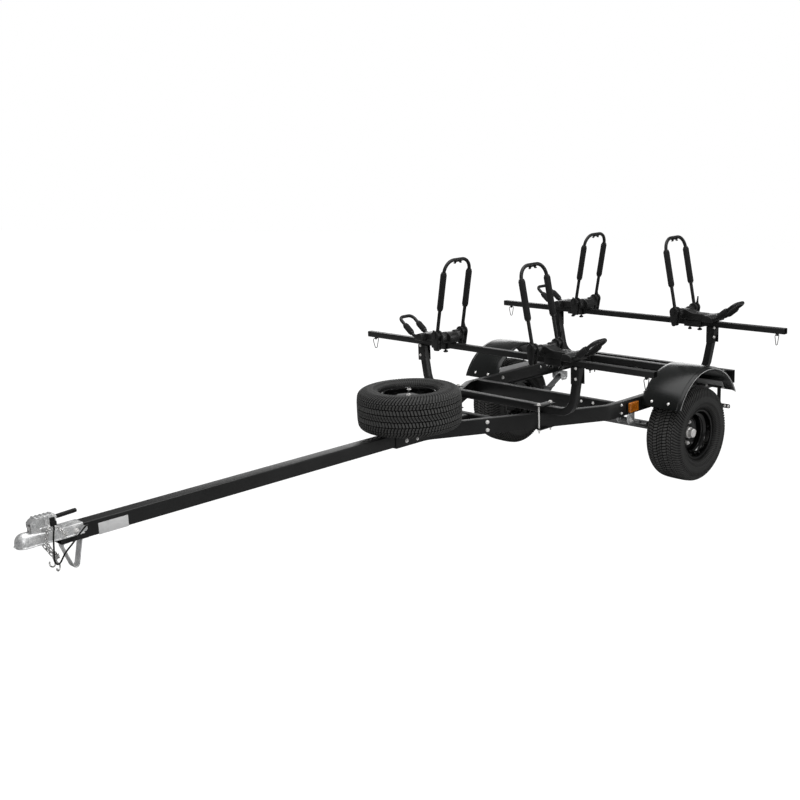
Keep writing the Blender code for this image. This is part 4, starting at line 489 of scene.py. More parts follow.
def curve_through(knots, spacing):
    """A Catmull-Rom curve through points, read off at about the spacing."""
    knots = [Vector(k) for k in knots]
    knots = [2 * knots[0] - knots[1]] + knots + [2 * knots[-1] - knots[-2]]
    route = []
    for a, b, c, d in zip(knots, knots[1:], knots[2:], knots[3:]):
        count = max(1, round((c - b).length / spacing))
        for k in range(count):
            t = k / count
            route.append(0.5 * (2 * b + (c - a) * t + (2 * a - 5 * b + 4 * c - d) * t ** 2
                                + (3 * b - a - 3 * c + d) * t ** 3))
    return route + [knots[-2]]


print("bench ready for", len(BODY_OF), "nodes")

# %% [markdown]
# ## Chain and wiring
# The safety chain runs from one of the coupler's side bolts round under its neck to the other, with two
# hooks hung in its lowest links. The trailer's wiring leaves the tongue's side, drops under the coupler and
# comes up to its flat plug. Both follow the same points as their solids.

# %% Routes
TONGUE_FRONT_Y, FRAME_Z = -3.343, 0.449
CHAIN_KNOTS = [
    (0.0414, 0.018, 0.010), (0.0480, 0.018, 0.010), (0.0560, 0.002, 0.028), (0.0550, -0.028, 0.055),
    (0.0540, -0.058, 0.050), (0.0550, -0.068, 0.010), (0.0540, -0.052, -0.035), (0.0460, -0.028, -0.064),
    (0.0200, -0.018, -0.080), (-0.0150, -0.020, -0.078), (-0.0400, -0.030, -0.055), (-0.0520, -0.045, -0.015),
    (-0.0530, -0.038, 0.025), (-0.0560, -0.008, 0.030), (-0.0480, 0.018, 0.010), (-0.0414, 0.018, 0.010)]
WIRING_KNOTS = [
    (0.0321, 0.112, 0.022), (0.0400, 0.112, 0.022), (0.0460, 0.098, 0.020), (0.0480, 0.070, -0.002),
    (0.0480, 0.040, -0.030), (0.0480, 0.005, -0.060), (0.0460, -0.022, -0.096), (0.0540, -0.044, -0.082),
    (0.0660, -0.048, -0.030), (0.0700, -0.046, 0.020), (0.0690, -0.040, 0.054), (0.0690, -0.040, 0.066)]
LINKS, LINK_RADIUS, LINK_WIRE = 25, 0.0054, 0.0024


def route_from(knots):
    """The cord's points in the world; its knots are across, behind and above the tongue's front end."""
    return curve_through([CHASSIS @ Vector((x, TONGUE_FRONT_Y + back, FRAME_Z + up))
                          for x, back, up in knots], 0.006)


def length_of(points):
    return sum((b - a).length for a, b in zip(points, points[1:]))


def place_along(points, distance):
    """The point and the direction at a distance from the start, straight on beyond the ends."""
    for a, b in zip(points, points[1:]):
        step = (b - a).length
        if distance <= step:
            break
        distance -= step
    else:
        distance += step
    return a + (b - a) * (distance / step), (b - a).normalized()


chain_points, wire_points = route_from(CHAIN_KNOTS), route_from(WIRING_KNOTS)
print("chain", round(length_of(chain_points), 3), "m, wiring", round(length_of(wire_points), 3), "m")


# %% Chain, hooks and plug
def chain(points):
    """Links set along the points, each a quarter turn from the last and following the route's own bends."""
    bpy.ops.mesh.primitive_torus_add(major_segments=16, minor_segments=8, major_radius=LINK_RADIUS,
                                     minor_radius=LINK_WIRE)
    link = bpy.context.object
    pitch = length_of(points) / LINKS
    stretch = pitch / 2 - 0.0030
    for vertex in link.data.vertices:
        if abs(vertex.co.x) > 1e-5:
            vertex.co.x += stretch * (1 if vertex.co.x > 0 else -1)
    made, across = [], Vector((0, 0, 1))
    for k in range(LINKS):
        _, way = place_along(points, (k + 0.5) * pitch)
        across = (across - way * across.dot(way)).normalized()
        made.append(copied(link, turned(k % 2 * pi / 2 + 0.35, "X")))
        for vertex in made[-1].data.vertices:
            point, here = place_along(points, (k + 0.5) * pitch + vertex.co.x)
            side = (across - here * across.dot(here)).normalized()
            vertex.co = point + side * vertex.co.y + here.cross(side) * vertex.co.z
    return joined(made)


def chain_hook():
    """An S-hook of round wire, hung by its upper eye, with its origin there."""
    knots = mm((6, 0, -3), (9, 0, 3), (5, 0, 8.5), (-3, 0, 8.5), (-7.5, 0, 3), (-6.5, 0, -6), (-1, 0, -14),
               (5.5, 0, -21), (7, 0, -29), (2, 0, -36), (-6, 0, -36.5), (-11, 0, -31), (-11.5, 0, -26))
    return swept(curve_through([Vector(knot) * 1.35 for knot in knots], 0.0018), 0.0032, 12)


def plug_body():
    """A flat four-way trailer plug: a moulded grip with ribs and three shrouded sockets; its bare pin is made
    apart.
    """
    pieces = [block((-0.0062, -0.0115, 0.0), (0.0062, 0.0115, 0.019), 0.0022, 3),
              block((-0.0046, -0.0122, 0.017), (0.0046, 0.0062, 0.0335), 0.0014, 3)]
    ring = spun(mm((32, 0), (32, 2.2), (33.8, 2.2), (33.8, 1.2), (33, 0)), 16, "Z")
    for k in range(3):
        pieces.append(block((-0.0065, -0.0125, 0.004 + 0.005 * k), (0.0065, 0.0125, 0.0062 + 0.005 * k),
                            0.0006))
        pieces.append(copied(ring, shift(0, -0.0092 + 0.0062 * k)))
    return joined(pieces)


safety_chain = put(chain(chain_points), "safety_chain_links", "chain_zinc", "safety_chain", WORLD, 60.0)
for k, (distance, swing, lean) in enumerate(((0.218, 0.5, 0.30), (0.262, 2.2, -0.25))):
    where = place_along(chain_points, distance)[0] - Vector((0, 0, 0.004))
    put(chain_hook(), f"chain_hook_{k}", "chain_zinc", "",
                     shift(*where) @ turned(swing, "Z") @ turned(lean, "Y"), 60.0)
tuple(chain_points[0])
round(length_of(chain_points), 4)
[tuple(p) for p in chain_points]
wiring = put(swept(wire_points, 0.0035, 16), "wiring_cable", "cable_rubber", "wiring_harness", WORLD, 60.0)
plug_place = shift(*wire_points[-1]) @ TILT @ shift(0, 0, 0.0003)
plug = put(plug_body(), "wiring_plug_body", "cable_rubber", "wiring_plug", plug_place, 34.0)
pin = put(rod(0.0170, 0.0337, 0.0017, 0.0008, 0.0012), "wiring_plug_pin", "zinc_plated_steel", "",
          plug_place @ shift(0, 0.0092), 40.0)
tuple(wire_points[0])
round(length_of(wire_points), 4)
[tuple(p) for p in wire_points]
print("cords:", safety_chain.name, wiring.name)

# %% [markdown]
# ## The welded and bolted frame
# The tongue, rails, cross members and yokes are stock tube and channel. Their solids have the right shape
# but razor edges; a real tube's corners are rolled to a small radius that catches a line of light. Each
# gets a copy with its edges broken by the radius that its section has.

# %% Rounded steelwork
EDGE_RADIUS = (
    (0.0022, "tongue_tube"), (0.0016, "side_rail_left side_rail_right"),
    (0.0014, "tongue_cross_brace front_cross_member"), (0.0012, "rear_cross_tube"),
    (0.0016, "rear_cross_member"), (0.0011, "front_yoke rear_yoke"), (0.0009, "front_crossbar rear_crossbar"),
    (0.0008, "fender_brace_left fender_brace_right"), (0.0010, "spare_carrier axle_beam"),
    (0.0012, "tongue_stand"), (0.0010, "spring_hanger_front_left spring_hanger_front_right"),
    (0.0010, "spring_hanger_rear_left spring_hanger_rear_right"), (0.0008, "coupler_ball_clamp"))
for width, nodes in EDGE_RADIUS:
    for node in nodes.split():
        steel = edit(copied(frame["nodes"][node]), (bpy.ops.mesh.remove_doubles, {"threshold": 1e-5}),
                     (bpy.ops.mesh.dissolve_limited, {"angle_limit": radians(0.6)}))
        # The fender braces get the light grey that is painted light instead of their grey paint.
        finish = "brace_grey" if "brace_" in node else SLOT_OF[node]
        put(rounded(steel, width, 2, 24.0), node + "_rounded", finish, node, WORLD, 40.0)
print("rounded:", *(nodes for _, nodes in EDGE_RADIUS))

# %% [markdown]
# ## Tyres
# The photograph shows a wide highway tyre: four straight grooves part five rows of small blocks, and long
# curved sipes run from the outer grooves over the shoulders onto the sidewalls. A grid is rolled into the
# tyre's shape, and its height at each vertex is the lower of two: the groove it lies in along the tread,
# and the one across.

# %% Tyre
TYRE_R = AXLE_Z - 0.0002
PITCHES, GROOVE_DEPTH = 96, 0.0060
RIM_HALF, BEAD_R = 0.0762, 0.127
TYRE_PROFILE = mm((0, 0), (12.5, 0), (13.8, 6.2), (17.2, 6.2), (18.5, 0.1), (40, 0.4), (41.3, 6.6),
                  (44.7, 6.6), (46, 0.8), (56, 1.8), (66, 3), (67.2, 7), (69.2, 7.2), (70.4, 3.8), (78, 6.8),
                  (85, 11.5), (90.5, 18), (94.5, 25), (97.5, 34), (99.5, 43.5), (100.8, 54), (101.3, 64),
                  (100.8, 74), (101.4, 76.5), (101.3, 79), (99.8, 81.5), (97.5, 91), (93.5, 101), (88.5, 108),
                  (86.2, 109.2), (85, 113), (80, 117), (76.2, 119.5), (75.2, 124), (74.5, 130))
BLOCK_EDGES = (0.0, 0.30, 0.60, 0.67, 0.93)
RIB_EDGES = (0.0125, 0.0185, 0.0400, 0.0460, 0.0660, 0.0704)
SHOULDER, SIPE_END = 0.0970, 0.0045


def groove_depth(across):
    """How deep the cross grooves and sipes are at a place across the tread."""
    if across < 0.0128:
        return 0.0045
    return GROOVE_DEPTH * max(0.0, min(1.0, 1.0 - (across - SHOULDER) / SIPE_END))


def sipe_shift(across, sign):
    """How far round, in pitches, the cross grooves lean at a place across the tread."""
    if across < 0.0155:
        return 0.55 * sign * across / 0.0155
    if across < 0.043:
        return 0.35 + 0.45 * sign * (across - 0.0155) / 0.0275
    if across < 0.068:
        return 0.10 - 0.55 * sign * (across - 0.043) / 0.025
    return 0.30 - sign * (0.20 + 1.5 * min(1.0, (across - 0.068) / 0.034) ** 1.6)


def painted_tread_light(across, phase):
    """How light the rubber is painted outside the grooves: a painted highlight, strongest at the edges of the
    tread's blocks.
    """
    if across > SHOULDER:
        return 0.40
    return 0.95 if phase == 2 or min(abs(across - edge) for edge in RIB_EDGES) < 0.0006 else 0.42


def tyre():
    """A tyre about the X axis, with its outer side towards +X."""
    columns = [(-a, drop, -1) for a, drop in TYRE_PROFILE[:0:-1]] + [(a, drop, 1) for a, drop in TYRE_PROFILE]
    wide = len(columns)
    bpy.ops.mesh.primitive_grid_add(x_subdivisions=wide - 1, y_subdivisions=PITCHES * len(BLOCK_EDGES),
                                    size=1.0)
    obj = bpy.context.object
    # The tread attribute is painted light: zero, which is painted shade, in the grooves, and a painted
    # highlight at the blocks' edges.
    painted_light_and_shade = obj.data.attributes.new("tread", "FLOAT", "POINT")
    for vertex in obj.data.vertices:
        row, column = divmod(vertex.index, wide)
        place, drop, sign = columns[column]
        across = abs(place)
        pitch, phase = divmod(row, len(BLOCK_EDGES))
        cut = groove_depth(across) if phase >= 3 else 0.0
        radius = TYRE_R - max(drop, min(drop + cut, 0.0075) if across < 0.07 else drop + cut)
        angle = 2 * pi * (pitch + BLOCK_EDGES[phase] + sipe_shift(across, sign)) / PITCHES
        in_groove = cut > 0.001 or (across < 0.07 and drop > 0.006)
        painted_light_and_shade.data[vertex.index].value = 0.0 if in_groove else painted_tread_light(across, phase)
        inward = 0.6 * cut if across > 0.085 else 0.0
        vertex.co = (place - sign * inward, radius * sin(angle), radius * cos(angle))
    return apply(outward(obj, 1e-5), "SOLIDIFY", thickness=0.006, offset=-1.0)


tyre_pattern = tyre()
print("tyre:", len(tyre_pattern.data.polygons), "faces")

# %% [markdown]
# ## Rims and hubs
# A trailer rim is rolled steel: a turned lip, a bead seat, a drop centre, and a dished disc pressed in and
# welded. Deep gloss black shows each step as a ring of light. The disc is held by four zinc cone nuts round
# a bright grease cap that is driven into the hub.

# %% Rim, nuts and cap
QUARTERS = [(0.0575 * cos(k * pi / 2), 0.0575 * sin(k * pi / 2)) for k in range(4)]


def rim():
    lip = BEAD_R + 0.0135
    front = [(RIM_HALF, lip - 0.0015), (RIM_HALF - 0.0015, lip), (RIM_HALF - 0.0040, lip - 0.0008),
             (RIM_HALF - 0.0052, BEAD_R + 0.004), (RIM_HALF - 0.0070, BEAD_R + 0.0006), (0.045, BEAD_R),
             (0.0425, BEAD_R + 0.0012), (0.040, BEAD_R - 0.001), (0.030, 0.1040), (-0.043, 0.1030),
             (-0.056, BEAD_R), (-0.0722, BEAD_R), (-0.0722, lip), (-RIM_HALF, lip),
             (-RIM_HALF, BEAD_R - 0.004), (-0.052, BEAD_R - 0.006), (-0.040, 0.0990), (-0.014, 0.0985),
             (-0.0030, 0.0820), (-0.0030, 0.0322), (0.0020, 0.0322),
             (0.0020, 0.0745), (0.0045, 0.0790), (0.0045, 0.0835), (-0.0010, 0.0885), (-0.0060, 0.0960),
             (-0.0020, 0.0990), (0.0280, 0.0995), (0.0330, 0.1035), (0.0345, 0.1120), (0.0375, 0.1170),
             (0.0440, 0.1215), (0.0660, 0.1228), (0.0735, 0.1250), (0.0758, 0.1320)]
    disc, holes = spun(front, 96), []
    for y, z in QUARTERS:
        bpy.ops.mesh.primitive_cylinder_add(vertices=20, radius=0.0066, depth=0.03, rotation=(0, pi / 2, 0),
                                            location=(0, y, z))
        holes.append(bpy.context.object)
    return apply(disc, "BOOLEAN", operation="DIFFERENCE", solver="EXACT", object=joined(holes))


def hexagon(radius, height, flange=0.0, washer=0.0):
    """A hex nut or head standing on z = 0, its corners chamfered, with a round flange or washer under it."""
    bpy.ops.mesh.primitive_cylinder_add(vertices=6, radius=radius, depth=height, location=(0, 0, height / 2))
    nut = bpy.context.object
    bpy.ops.object.transform_apply(location=True, rotation=False, scale=False)
    crown = spun([(-0.001, 0.0), (-0.001, radius * 1.2), (height * 0.72, radius * 1.2),
                  (height + 0.0005, radius * 0.80), (height + 0.0005, 0.0)], 24, "Z")
    apply(nut, "BOOLEAN", operation="INTERSECT", solver="EXACT", object=crown)
    rounded(nut, radius * 0.04, 1, 20.0)
    if not washer:
        return nut
    return joined([nut, spun([(0.0, 0.0), (0.0, flange), (washer * 0.8, flange), (washer, flange - 0.0005),
                              (washer, 0.0)], 24, "Z")])


def stud_nut():
    """A cone nut with the end of its stud standing out, along +Z."""
    cone = spun(mm((-1, 0), (-1, 8.5), (1.5, 10.5), (1.5, 0)), 24, "Z")
    return joined([hexagon(0.0112, 0.0150), rod(0.0, 0.0205, 0.0058, 0.0050, steps=20), cone])


def hub():
    """The painted barrel with its flange, and what shines in front of it: pilot, grease cap and nuts."""
    barrel = spun(mm((-78, 14.1), (-78, 32.5), (-76.5, 34), (-13.5, 34), (-13, 64), (-11.5, 66), (-3.5, 66),
                     (-3.5, 14.1)), 48)
    cap = spun(mm((-3.3, 14.1), (-3.3, 31), (22.5, 31), (24, 29.8), (24.7, 27.5), (24.7, 26.4), (26.2, 27.2),
                  (27.2, 26.8), (27.8, 25.5), (42, 25), (45.2, 23.5), (46.7, 20.5), (46.7, 12), (46, 10.5),
                  (46, 0), (14.5, 0), (14.5, 14.1)), 48)
    nut = stud_nut()
    return barrel, joined([cap] + [copied(nut, shift(0.0023, y, z) @ turned(pi / 2, "Y"))
                                   for y, z in QUARTERS])


def valve():
    """A rubber snap-in valve with its cap, in the rim's front well, near the lowest nut."""
    return spun(mm((0, 0), (0, 7.8), (4, 7.2), (8, 5), (22, 4.2), (24, 5), (33, 5), (34.5, 4.2),
                   (34.5, 0)), 20)


rim_pattern, (barrel_pattern, cap_pattern), valve_pattern = rim(), hub(), valve()
print("rim:", len(rim_pattern.data.polygons), "faces")

# %% Three wheels
VALVE_AT = shift(0.0335, 0, -0.1095)
WHEEL_PARTS = ((rim_pattern, "rim_steel", "gloss_black_steel", "rim"),
               (cap_pattern, "hub_and_nuts", "zinc_plated_steel", "hub"),
               (barrel_pattern, "hub_barrel", "black_powder_coat", "hub"))
for side, roll in (("left", 0.0), ("right", 0.6)):
    place = (WORLD if side == "left" else MIRROR) @ shift(*WHEEL_CENTRE)
    put(copied(tyre_pattern), "tyre_tread_" + side, "tyre_rubber", "tyre_" + side, place @ turned(roll, "X"),
        28.0)
    for pattern, name, finish, node in WHEEL_PARTS:
        put(copied(pattern), f"{name}_{side}", finish, f"{node}_{side}", place, 30.0)
    put(copied(valve_pattern), "valve_" + side, "cable_rubber", "",
        place @ turned(radians(18), "X") @ VALVE_AT, 30.0, "wheel_" + side)
SPARE = CHASSIS @ shift(0, -1.459, 0.4871 + 0.0003 + 0.1016) @ turned(pi / 4, "Z") @ turned(-pi / 2, "Y")
put(tyre_pattern, "spare_tyre_tread", "tyre_rubber", "spare_tyre", SPARE, 28.0)
put(rim_pattern, "spare_rim_steel", "gloss_black_steel", "spare_rim", SPARE, 30.0)
put(valve_pattern, "spare_valve", "cable_rubber", "", SPARE @ turned(radians(18.0 - 107.0), "X") @ VALVE_AT,
    30.0)
print("three wheels")

# %% [markdown]
# ## Folding J-cradles
# Four moulded bases are clamped round the crossbars. A tall hoop turns in two knuckles on each and carries
# two foam sleeves; a short padded arm stands out of sockets in the base's head. Each pattern is modelled
# once, its origin on the hinge line over the middle of the bar, then copied to the four places.

# %% Hoops, sleeves and arms
RACK_X, REAR_LEFT_X = 0.335, 0.370
BAR_TOP = {"front": 0.779875, "rear": 0.807875}
HINGE_UP, HOOP_TOP, HOOP_BEND, SPREAD, LEAN = 0.050, 0.4124, 0.066, 0.097, radians(11.0)
PAD_LOW, PAD_HIGH, TUBE_R, PAD_R = 0.141, 0.350, 0.0095, 0.0175
KICK, RISE, ARM_LENGTH, ARM_SPREAD, ARM_UP = 0.227, radians(38.0), 0.150, 0.050, 0.020
COLLAR = 0.0075


def sleeve(length):
    """A foam sleeve about Z: soft shoulders, an open bore and the groove of its glued seam."""
    outer = [(0.0, TUBE_R + 0.0001), (0.0, PAD_R - 0.0050), (0.0005, PAD_R - 0.0028),
             (0.0022, PAD_R - 0.0010), (0.006, PAD_R - 0.0002), (length * 0.3, PAD_R - 0.0004)]
    obj = spun(outer + [(length - a, r) for a, r in reversed(outer)], 48, "Z")
    for vertex in obj.data.vertices:
        x, y, _ = vertex.co
        if hypot(x, y) > PAD_R - 0.0030 and abs(atan2(y, x) + 0.8) < 0.05:
            vertex.co.x, vertex.co.y = x * 0.935, y * 0.935
    return obj


def tall_hoop():
    """The bent tube with its two eyes."""
    foot = 0.012
    tube = swept(bent([(0, -SPREAD, foot), (0, -SPREAD, HOOP_TOP), (0, SPREAD, HOOP_TOP), (0, SPREAD, foot)],
                      HOOP_BEND, 14), TUBE_R, 24)
    eye = spun(mm((-8.5, 6.7), (-8.5, 19.5), (-7, 21), (7, 21), (8.5, 19.5), (8.5, 6.7)), 32, "Y")
    return joined([tube] + [copied(eye, shift(0, sign * SPREAD)) for sign in BOTH])


def strap_clip():
    """A moulded clip snapped on the tube under its top, with two small hooks that hold the strap's end."""
    pieces = []
    band = spun([(-0.0050, TUBE_R - 0.0002), (-0.0050, 0.0112), (-0.0042, 0.0118), (0.0042, 0.0118),
                 (0.0050, 0.0112), (0.0050, TUBE_R - 0.0002)], 24, "Y")
    hook = slab(mm((-4.5, -8), (4.5, -8), (5, -12.5), (9.5, -14.5), (10.5, -13), (12, -13.5), (11.5, -16.5),
                   (6, -19), (-1.5, -17)), "X", -0.0045, 0.0045, 0.0007)
    for sign in BOTH:
        place = shift(0, sign * 0.0175, HOOP_TOP - 0.0026)
        pieces += [copied(band, place), copied(hook, place @ Matrix.Scale(sign, 4, (0, 1, 0)))]
    return joined(pieces + [block((-0.0030, -0.0175, HOOP_TOP - 0.0125), (0.0030, 0.0175, HOOP_TOP - 0.0085),
                                  0.0008)])


def short_arm():
    far, high, y, root = KICK + ARM_LENGTH * cos(RISE), ARM_UP + ARM_LENGTH * sin(RISE), ARM_SPREAD, 0.166
    return swept(bent([(root, -y, ARM_UP), (KICK, -y, ARM_UP), (far, -y, high), (far, y, high),
                       (KICK, y, ARM_UP), (root, y, ARM_UP)], 0.030, 10), TUBE_R, 24)


def padded_leg(foot, direction, length):
    """A sleeve between two collars, from the foot along the direction."""
    ring = spun([(0.0, TUBE_R), (0.0, 0.0136), (0.0008, 0.0144), (COLLAR - 0.0008, 0.0144), (COLLAR, 0.0136),
                 (COLLAR, TUBE_R)], 32, "Z")
    base = facing(foot, direction)
    rings = [copied(ring, base), copied(ring, base @ shift(0, 0, length - COLLAR))]
    return moved(sleeve(length - 0.013), base @ shift(0, 0, 0.0065)), joined(rings)


# %% Bases
def pear(high, radius, low, toe, steps=16):
    """Two circles, one over the other, joined by their tangents."""
    lean = asin((radius - toe) / (high - low))
    return [(size * cos(start + (end - start) * k / steps),
             centre + size * sin(start + (end - start) * k / steps))
            for centre, size, start, end in ((high, radius, -lean, pi + lean),
                                             (low, toe, pi + lean, 2 * pi - lean))
            for k in range(steps + 1)]


def curved(outline, spacing):
    return [(p.x, p.z) for p in curve_through([(a, 0, b) for a, b in outline], spacing)]


def rack_base():
    """The moulding round the bar: a humped body, a broad head with two sockets, two knuckles and levers."""
    top = curved(mm((-40, 30), (-37.5, 42), (-29, 52), (-12, 57.5), (14, 57.8), (36, 54), (58, 45.2),
                    (85, 39.8), (130, 38.8), (182, 37.5), (203, 32), (214, 23)), 0.006)
    head = mm((146, 0.3), (215, 0.3), (215, 24), (203, 32.5), (182, 38.5), (158, 36.5))
    pieces = [slab(top + [(0.2150, 0.0003), (-0.0400, 0.0003)], "Y", -0.034, 0.034, 0.0050, 4),
              slab(head, "Y", -0.0655, 0.0655, 0.0050, 4)]
    pieces += [block((0.088, y - 0.0016, 0.036), (0.150, y + 0.0016, 0.0405), 0.0012)
               for y in (-0.012, 0.012)]
    cheek = pear(HINGE_UP, 0.027, -0.018, 0.013)
    arm = mm((-22, 12), (22, 12), (22, 30), (16, 58), (6, 64), (-6, 64), (-16, 58), (-22, 30))
    tall = curved(mm((11, 36.5), (12.5, 60), (9.5, 84), (10, 110), (4, 112), (1.5, 96), (-5, 72), (-11, 50),
                     (-11, 36.5)), 0.004)
    ear = mm((-11, 36.5), (11, 36.5), (9, 62), (4, 70), (6, 82), (0, 84), (-6, 70), (-11, 54))
    dome = spun(mm((116, 0), (116, 10.5), (119.5, 10), (121.2, 7), (121.6, 0)), 28, "Y")
    for sign, lever in ((-1, ear), (1, tall)):
        pieces.append(slab(arm, "Y", sign * 0.030, sign * 0.0805, 0.0025, 3))
        pieces += [slab(cheek, "Y", sign * near, sign * (near + 0.0110), 0.0022, 3)
                   for near in (0.0769, 0.1061)]
        pieces += [block((-0.014, sign * 0.084, -0.004), (0.014, sign * 0.110, 0.024), 0.0015),
                   slab(lever, "Y", sign * 0.1165, sign * 0.1228, 0.0010),
                   copied(dome, shift(0, 0, HINGE_UP) @ Matrix.Scale(sign, 4, (0, 1, 0))),
                   block((0.010, sign * 0.0162, -0.0385), (0.120, sign * 0.0262, 0.0020), 0.0045, 4)]
    return joined(pieces + [block((0.010, -0.0262, -0.0391), (0.120, 0.0262, -0.0321), 0.0034, 3)])


def clamp_screws():
    """Two T-handled screws under the clamp: a threaded stem and a flared knob."""
    stem = spun(mm((0, 0), (0, 3.6), (-6, 3.6), (-6.6, 6), (-8.5, 8), (-15, 10.5), (-18.5, 11), (-20, 9.5),
                   (-20, 0)), 24, "Z")
    screw = joined([stem, block((-0.0032, -0.0135, -0.0185), (0.0032, 0.0135, -0.0110), 0.0016)])
    return joined([copied(screw, shift(x, 0, -0.0390) @ turned(angle, "Z"))
                   for x, angle in ((0.034, 0.5), (0.098, 2.3))])


base_pattern, screw_pattern, arm_pattern = rack_base(), clamp_screws(), short_arm()
hoop_pattern, clip_pattern = tall_hoop(), strap_clip()
print("rack patterns:", len(base_pattern.data.polygons), "faces in a base")

# %% Four racks
UPRIGHT, SLOPE, ARM_PAD_FROM = (0, 0, 1), (cos(RISE), 0, sin(RISE)), 0.020
for name in (end + "_" + side for end in YOKE_Y for side in HANDS):
    end, side = name.split("_")
    place = HANDS[side] @ shift(REAR_LEFT_X if name == "rear_left" else RACK_X, YOKE_Y[end], BAR_TOP[end])
    hinge = place @ shift(0, 0, HINGE_UP) @ turned(-LEAN, "Y")
    base_body, hoop_body = BODY_OF["rack_base_" + name], BODY_OF["rack_hoop_" + name]
    put(copied(base_pattern), "rack_moulding_" + name, "rack_plastic", "rack_base_" + name, place, 34.0)
    put(copied(screw_pattern), "rack_screws_" + name, "rack_plastic", "", place, 34.0, base_body)
    put(copied(hoop_pattern), "hoop_tube_" + name, "black_powder_coat", "rack_hoop_" + name, hinge, 40.0)
    put(copied(clip_pattern), "hoop_clip_" + name, "rack_plastic", "", hinge, 34.0, hoop_body)
    put(copied(arm_pattern), "short_arm_tube_" + name, "black_powder_coat", "rack_short_arm_" + name, place,
        40.0)
    legs = [("hoop_pad", hoop_body, hinge, (0, sign * SPREAD, PAD_LOW), UPRIGHT, PAD_HIGH - PAD_LOW)
            for sign in BOTH]
    legs += [("arm_pad", base_body, place, (KICK + ARM_PAD_FROM * SLOPE[0], sign * ARM_SPREAD,
                                            ARM_UP + ARM_PAD_FROM * SLOPE[2]), SLOPE, 0.0715)
             for sign in BOTH]
    for k, (word, body, where, foot, way, length) in enumerate(legs):
        pad, rings = padded_leg(foot, way, length)
        put(pad, f"{word}_{name}_{k}", "foam_covered_tube", "", where, 50.0, body)
        put(rings, f"{word}_ends_{name}_{k}", "rack_plastic", "", where, 40.0, body)
print("four racks dressed")

# %% [markdown]
# ## Coupler
# A pressed and galvanised ball coupler: the round nose over the ball runs back into a square sleeve with
# turned-out lips. On top a ridged latch lever turns on a pin between two ears and ends in a black grip. The
# shell is lofted from arches whose corners go from round to square.

# %% Pressed shell
SHELL_LOW, NOSE_AT, DOME, DOME_LIFT, SLEEVE_HALF = FRAME_Z - 0.007, 0.1339, 0.0345, 0.019, 0.03505
PIVOT_Y, PIVOT_Z = TONGUE_FRONT_Y - 0.094, FRAME_Z + 0.0685


def arch_row(y, half, high, squareness, steps=28):
    low = SHELL_LOW
    row = [(half + 0.0060, y, low), (half + 0.0060, y, low + 0.0026), (half + 0.0022, y, low + 0.0032),
           (half + 0.0004, y, low + 0.0052)]
    for k in range(1, steps):
        a, b = cos(pi * k / steps), sin(pi * k / steps)
        flat = (abs(a) ** 12 + abs(b) ** 12) ** (squareness / 12)
        row.append((half * a / flat, y, low + 0.002 + (high - 0.002) * b / flat))
    return row + [(-x, y_, z) for x, y_, z in reversed(row[:4])]


def coupler_shell():
    """Arches from the nose back, as (ahead of the tongue, half width, height, squareness)."""
    arcs = [(DOME * cos(pi * k / 20), DOME * sin(pi * k / 20)) for k in range(1, 11)]
    rows = [(NOSE_AT + ahead, rise, DOME_LIFT + rise, 0.0) for ahead, rise in arcs]
    rows += [(0.120, 0.0343, 0.0533, 0.08), (0.104, 0.0333, 0.0518, 0.30), (0.085, 0.0330, 0.0490, 0.50),
             (0.068, 0.0330, 0.0455, 0.66), (0.052, 0.0331, 0.0425, 0.80), (0.036, 0.0341, 0.0421, 0.92)]
    rows += [(ahead, SLEEVE_HALF, 0.0420, 1.0) for ahead in (0.020, 0.0, -0.048, -0.097)]
    points = [point for ahead, *shape in rows for point in arch_row(TONGUE_FRONT_Y - ahead, *shape)]
    wide, nose = len(points) // len(rows), len(points)
    faces = [(a, a + 1, a + 1 + wide, a + wide) for j in range(len(rows) - 1)
             for a in range(j * wide, (j + 1) * wide - 1)]
    faces += [(i + 1, i, nose) for i in range(wide - 1)]
    points.append((0, TONGUE_FRONT_Y - NOSE_AT - DOME - 0.0004, SHELL_LOW + 0.012))
    shell = edit(mesh_object(points, (), faces), (bpy.ops.mesh.normals_make_consistent, {"inside": False}))
    if sum(p.normal.z * p.area for p in shell.data.polygons) < 0:
        shell.data.flip_normals()
    return apply(shell, "SOLIDIFY", thickness=0.0028, offset=-1.0)


pieces = [coupler_shell()]
ear = [(PIVOT_Y + back, FRAME_Z + up) for back, up in (
    (-0.0150, 0.0245), (0.0335, 0.0245), (0.0260, 0.0420), (0.0110, 0.0725), (0.0040, 0.0765),
    (-0.0050, 0.0765),
    (-0.0110, 0.0705))]
tab = [(TONGUE_FRONT_Y + back, FRAME_Z + up) for back, up in (
    (0.0965, -0.0020), (0.1065, -0.0020), (0.1125, 0.0040), (0.1125, 0.0160), (0.1065, 0.0220),
    (0.0965, 0.0220))]
rivet = spun(mm((34, 0), (34, 4.6), (36.2, 4), (37, 2), (37, 0)), 20, "X")
for sign in BOTH:
    pieces += [slab(ear, "X", sign * 0.0134, sign * 0.0174, 0.0010),
               slab(tab, "X", sign * 0.0322, sign * 0.0350, 0.0006),
               copied(rivet, Matrix.Scale(sign, 4, (1, 0, 0))
                      @ shift(0, TONGUE_FRONT_Y + 0.105, FRAME_Z + 0.010))]
pieces.append(moved(spun(mm((-24.5, 0), (-24.5, 6.2), (-22.5, 7.2), (-21.5, 5), (21.5, 5), (22.5, 7.2),
                            (24.5, 6.2), (24.5, 0)), 24, "X"), shift(0, PIVOT_Y, PIVOT_Z)))
put(joined(pieces), "coupler_pressing", "galvanised_steel", "coupler_housing", CHASSIS, 38.0)
bolt_pattern = joined([hexagon(0.0088, 0.0062, 0.0098, 0.0014), rod(0.0, 0.0102, 0.0042, 0.0032)])
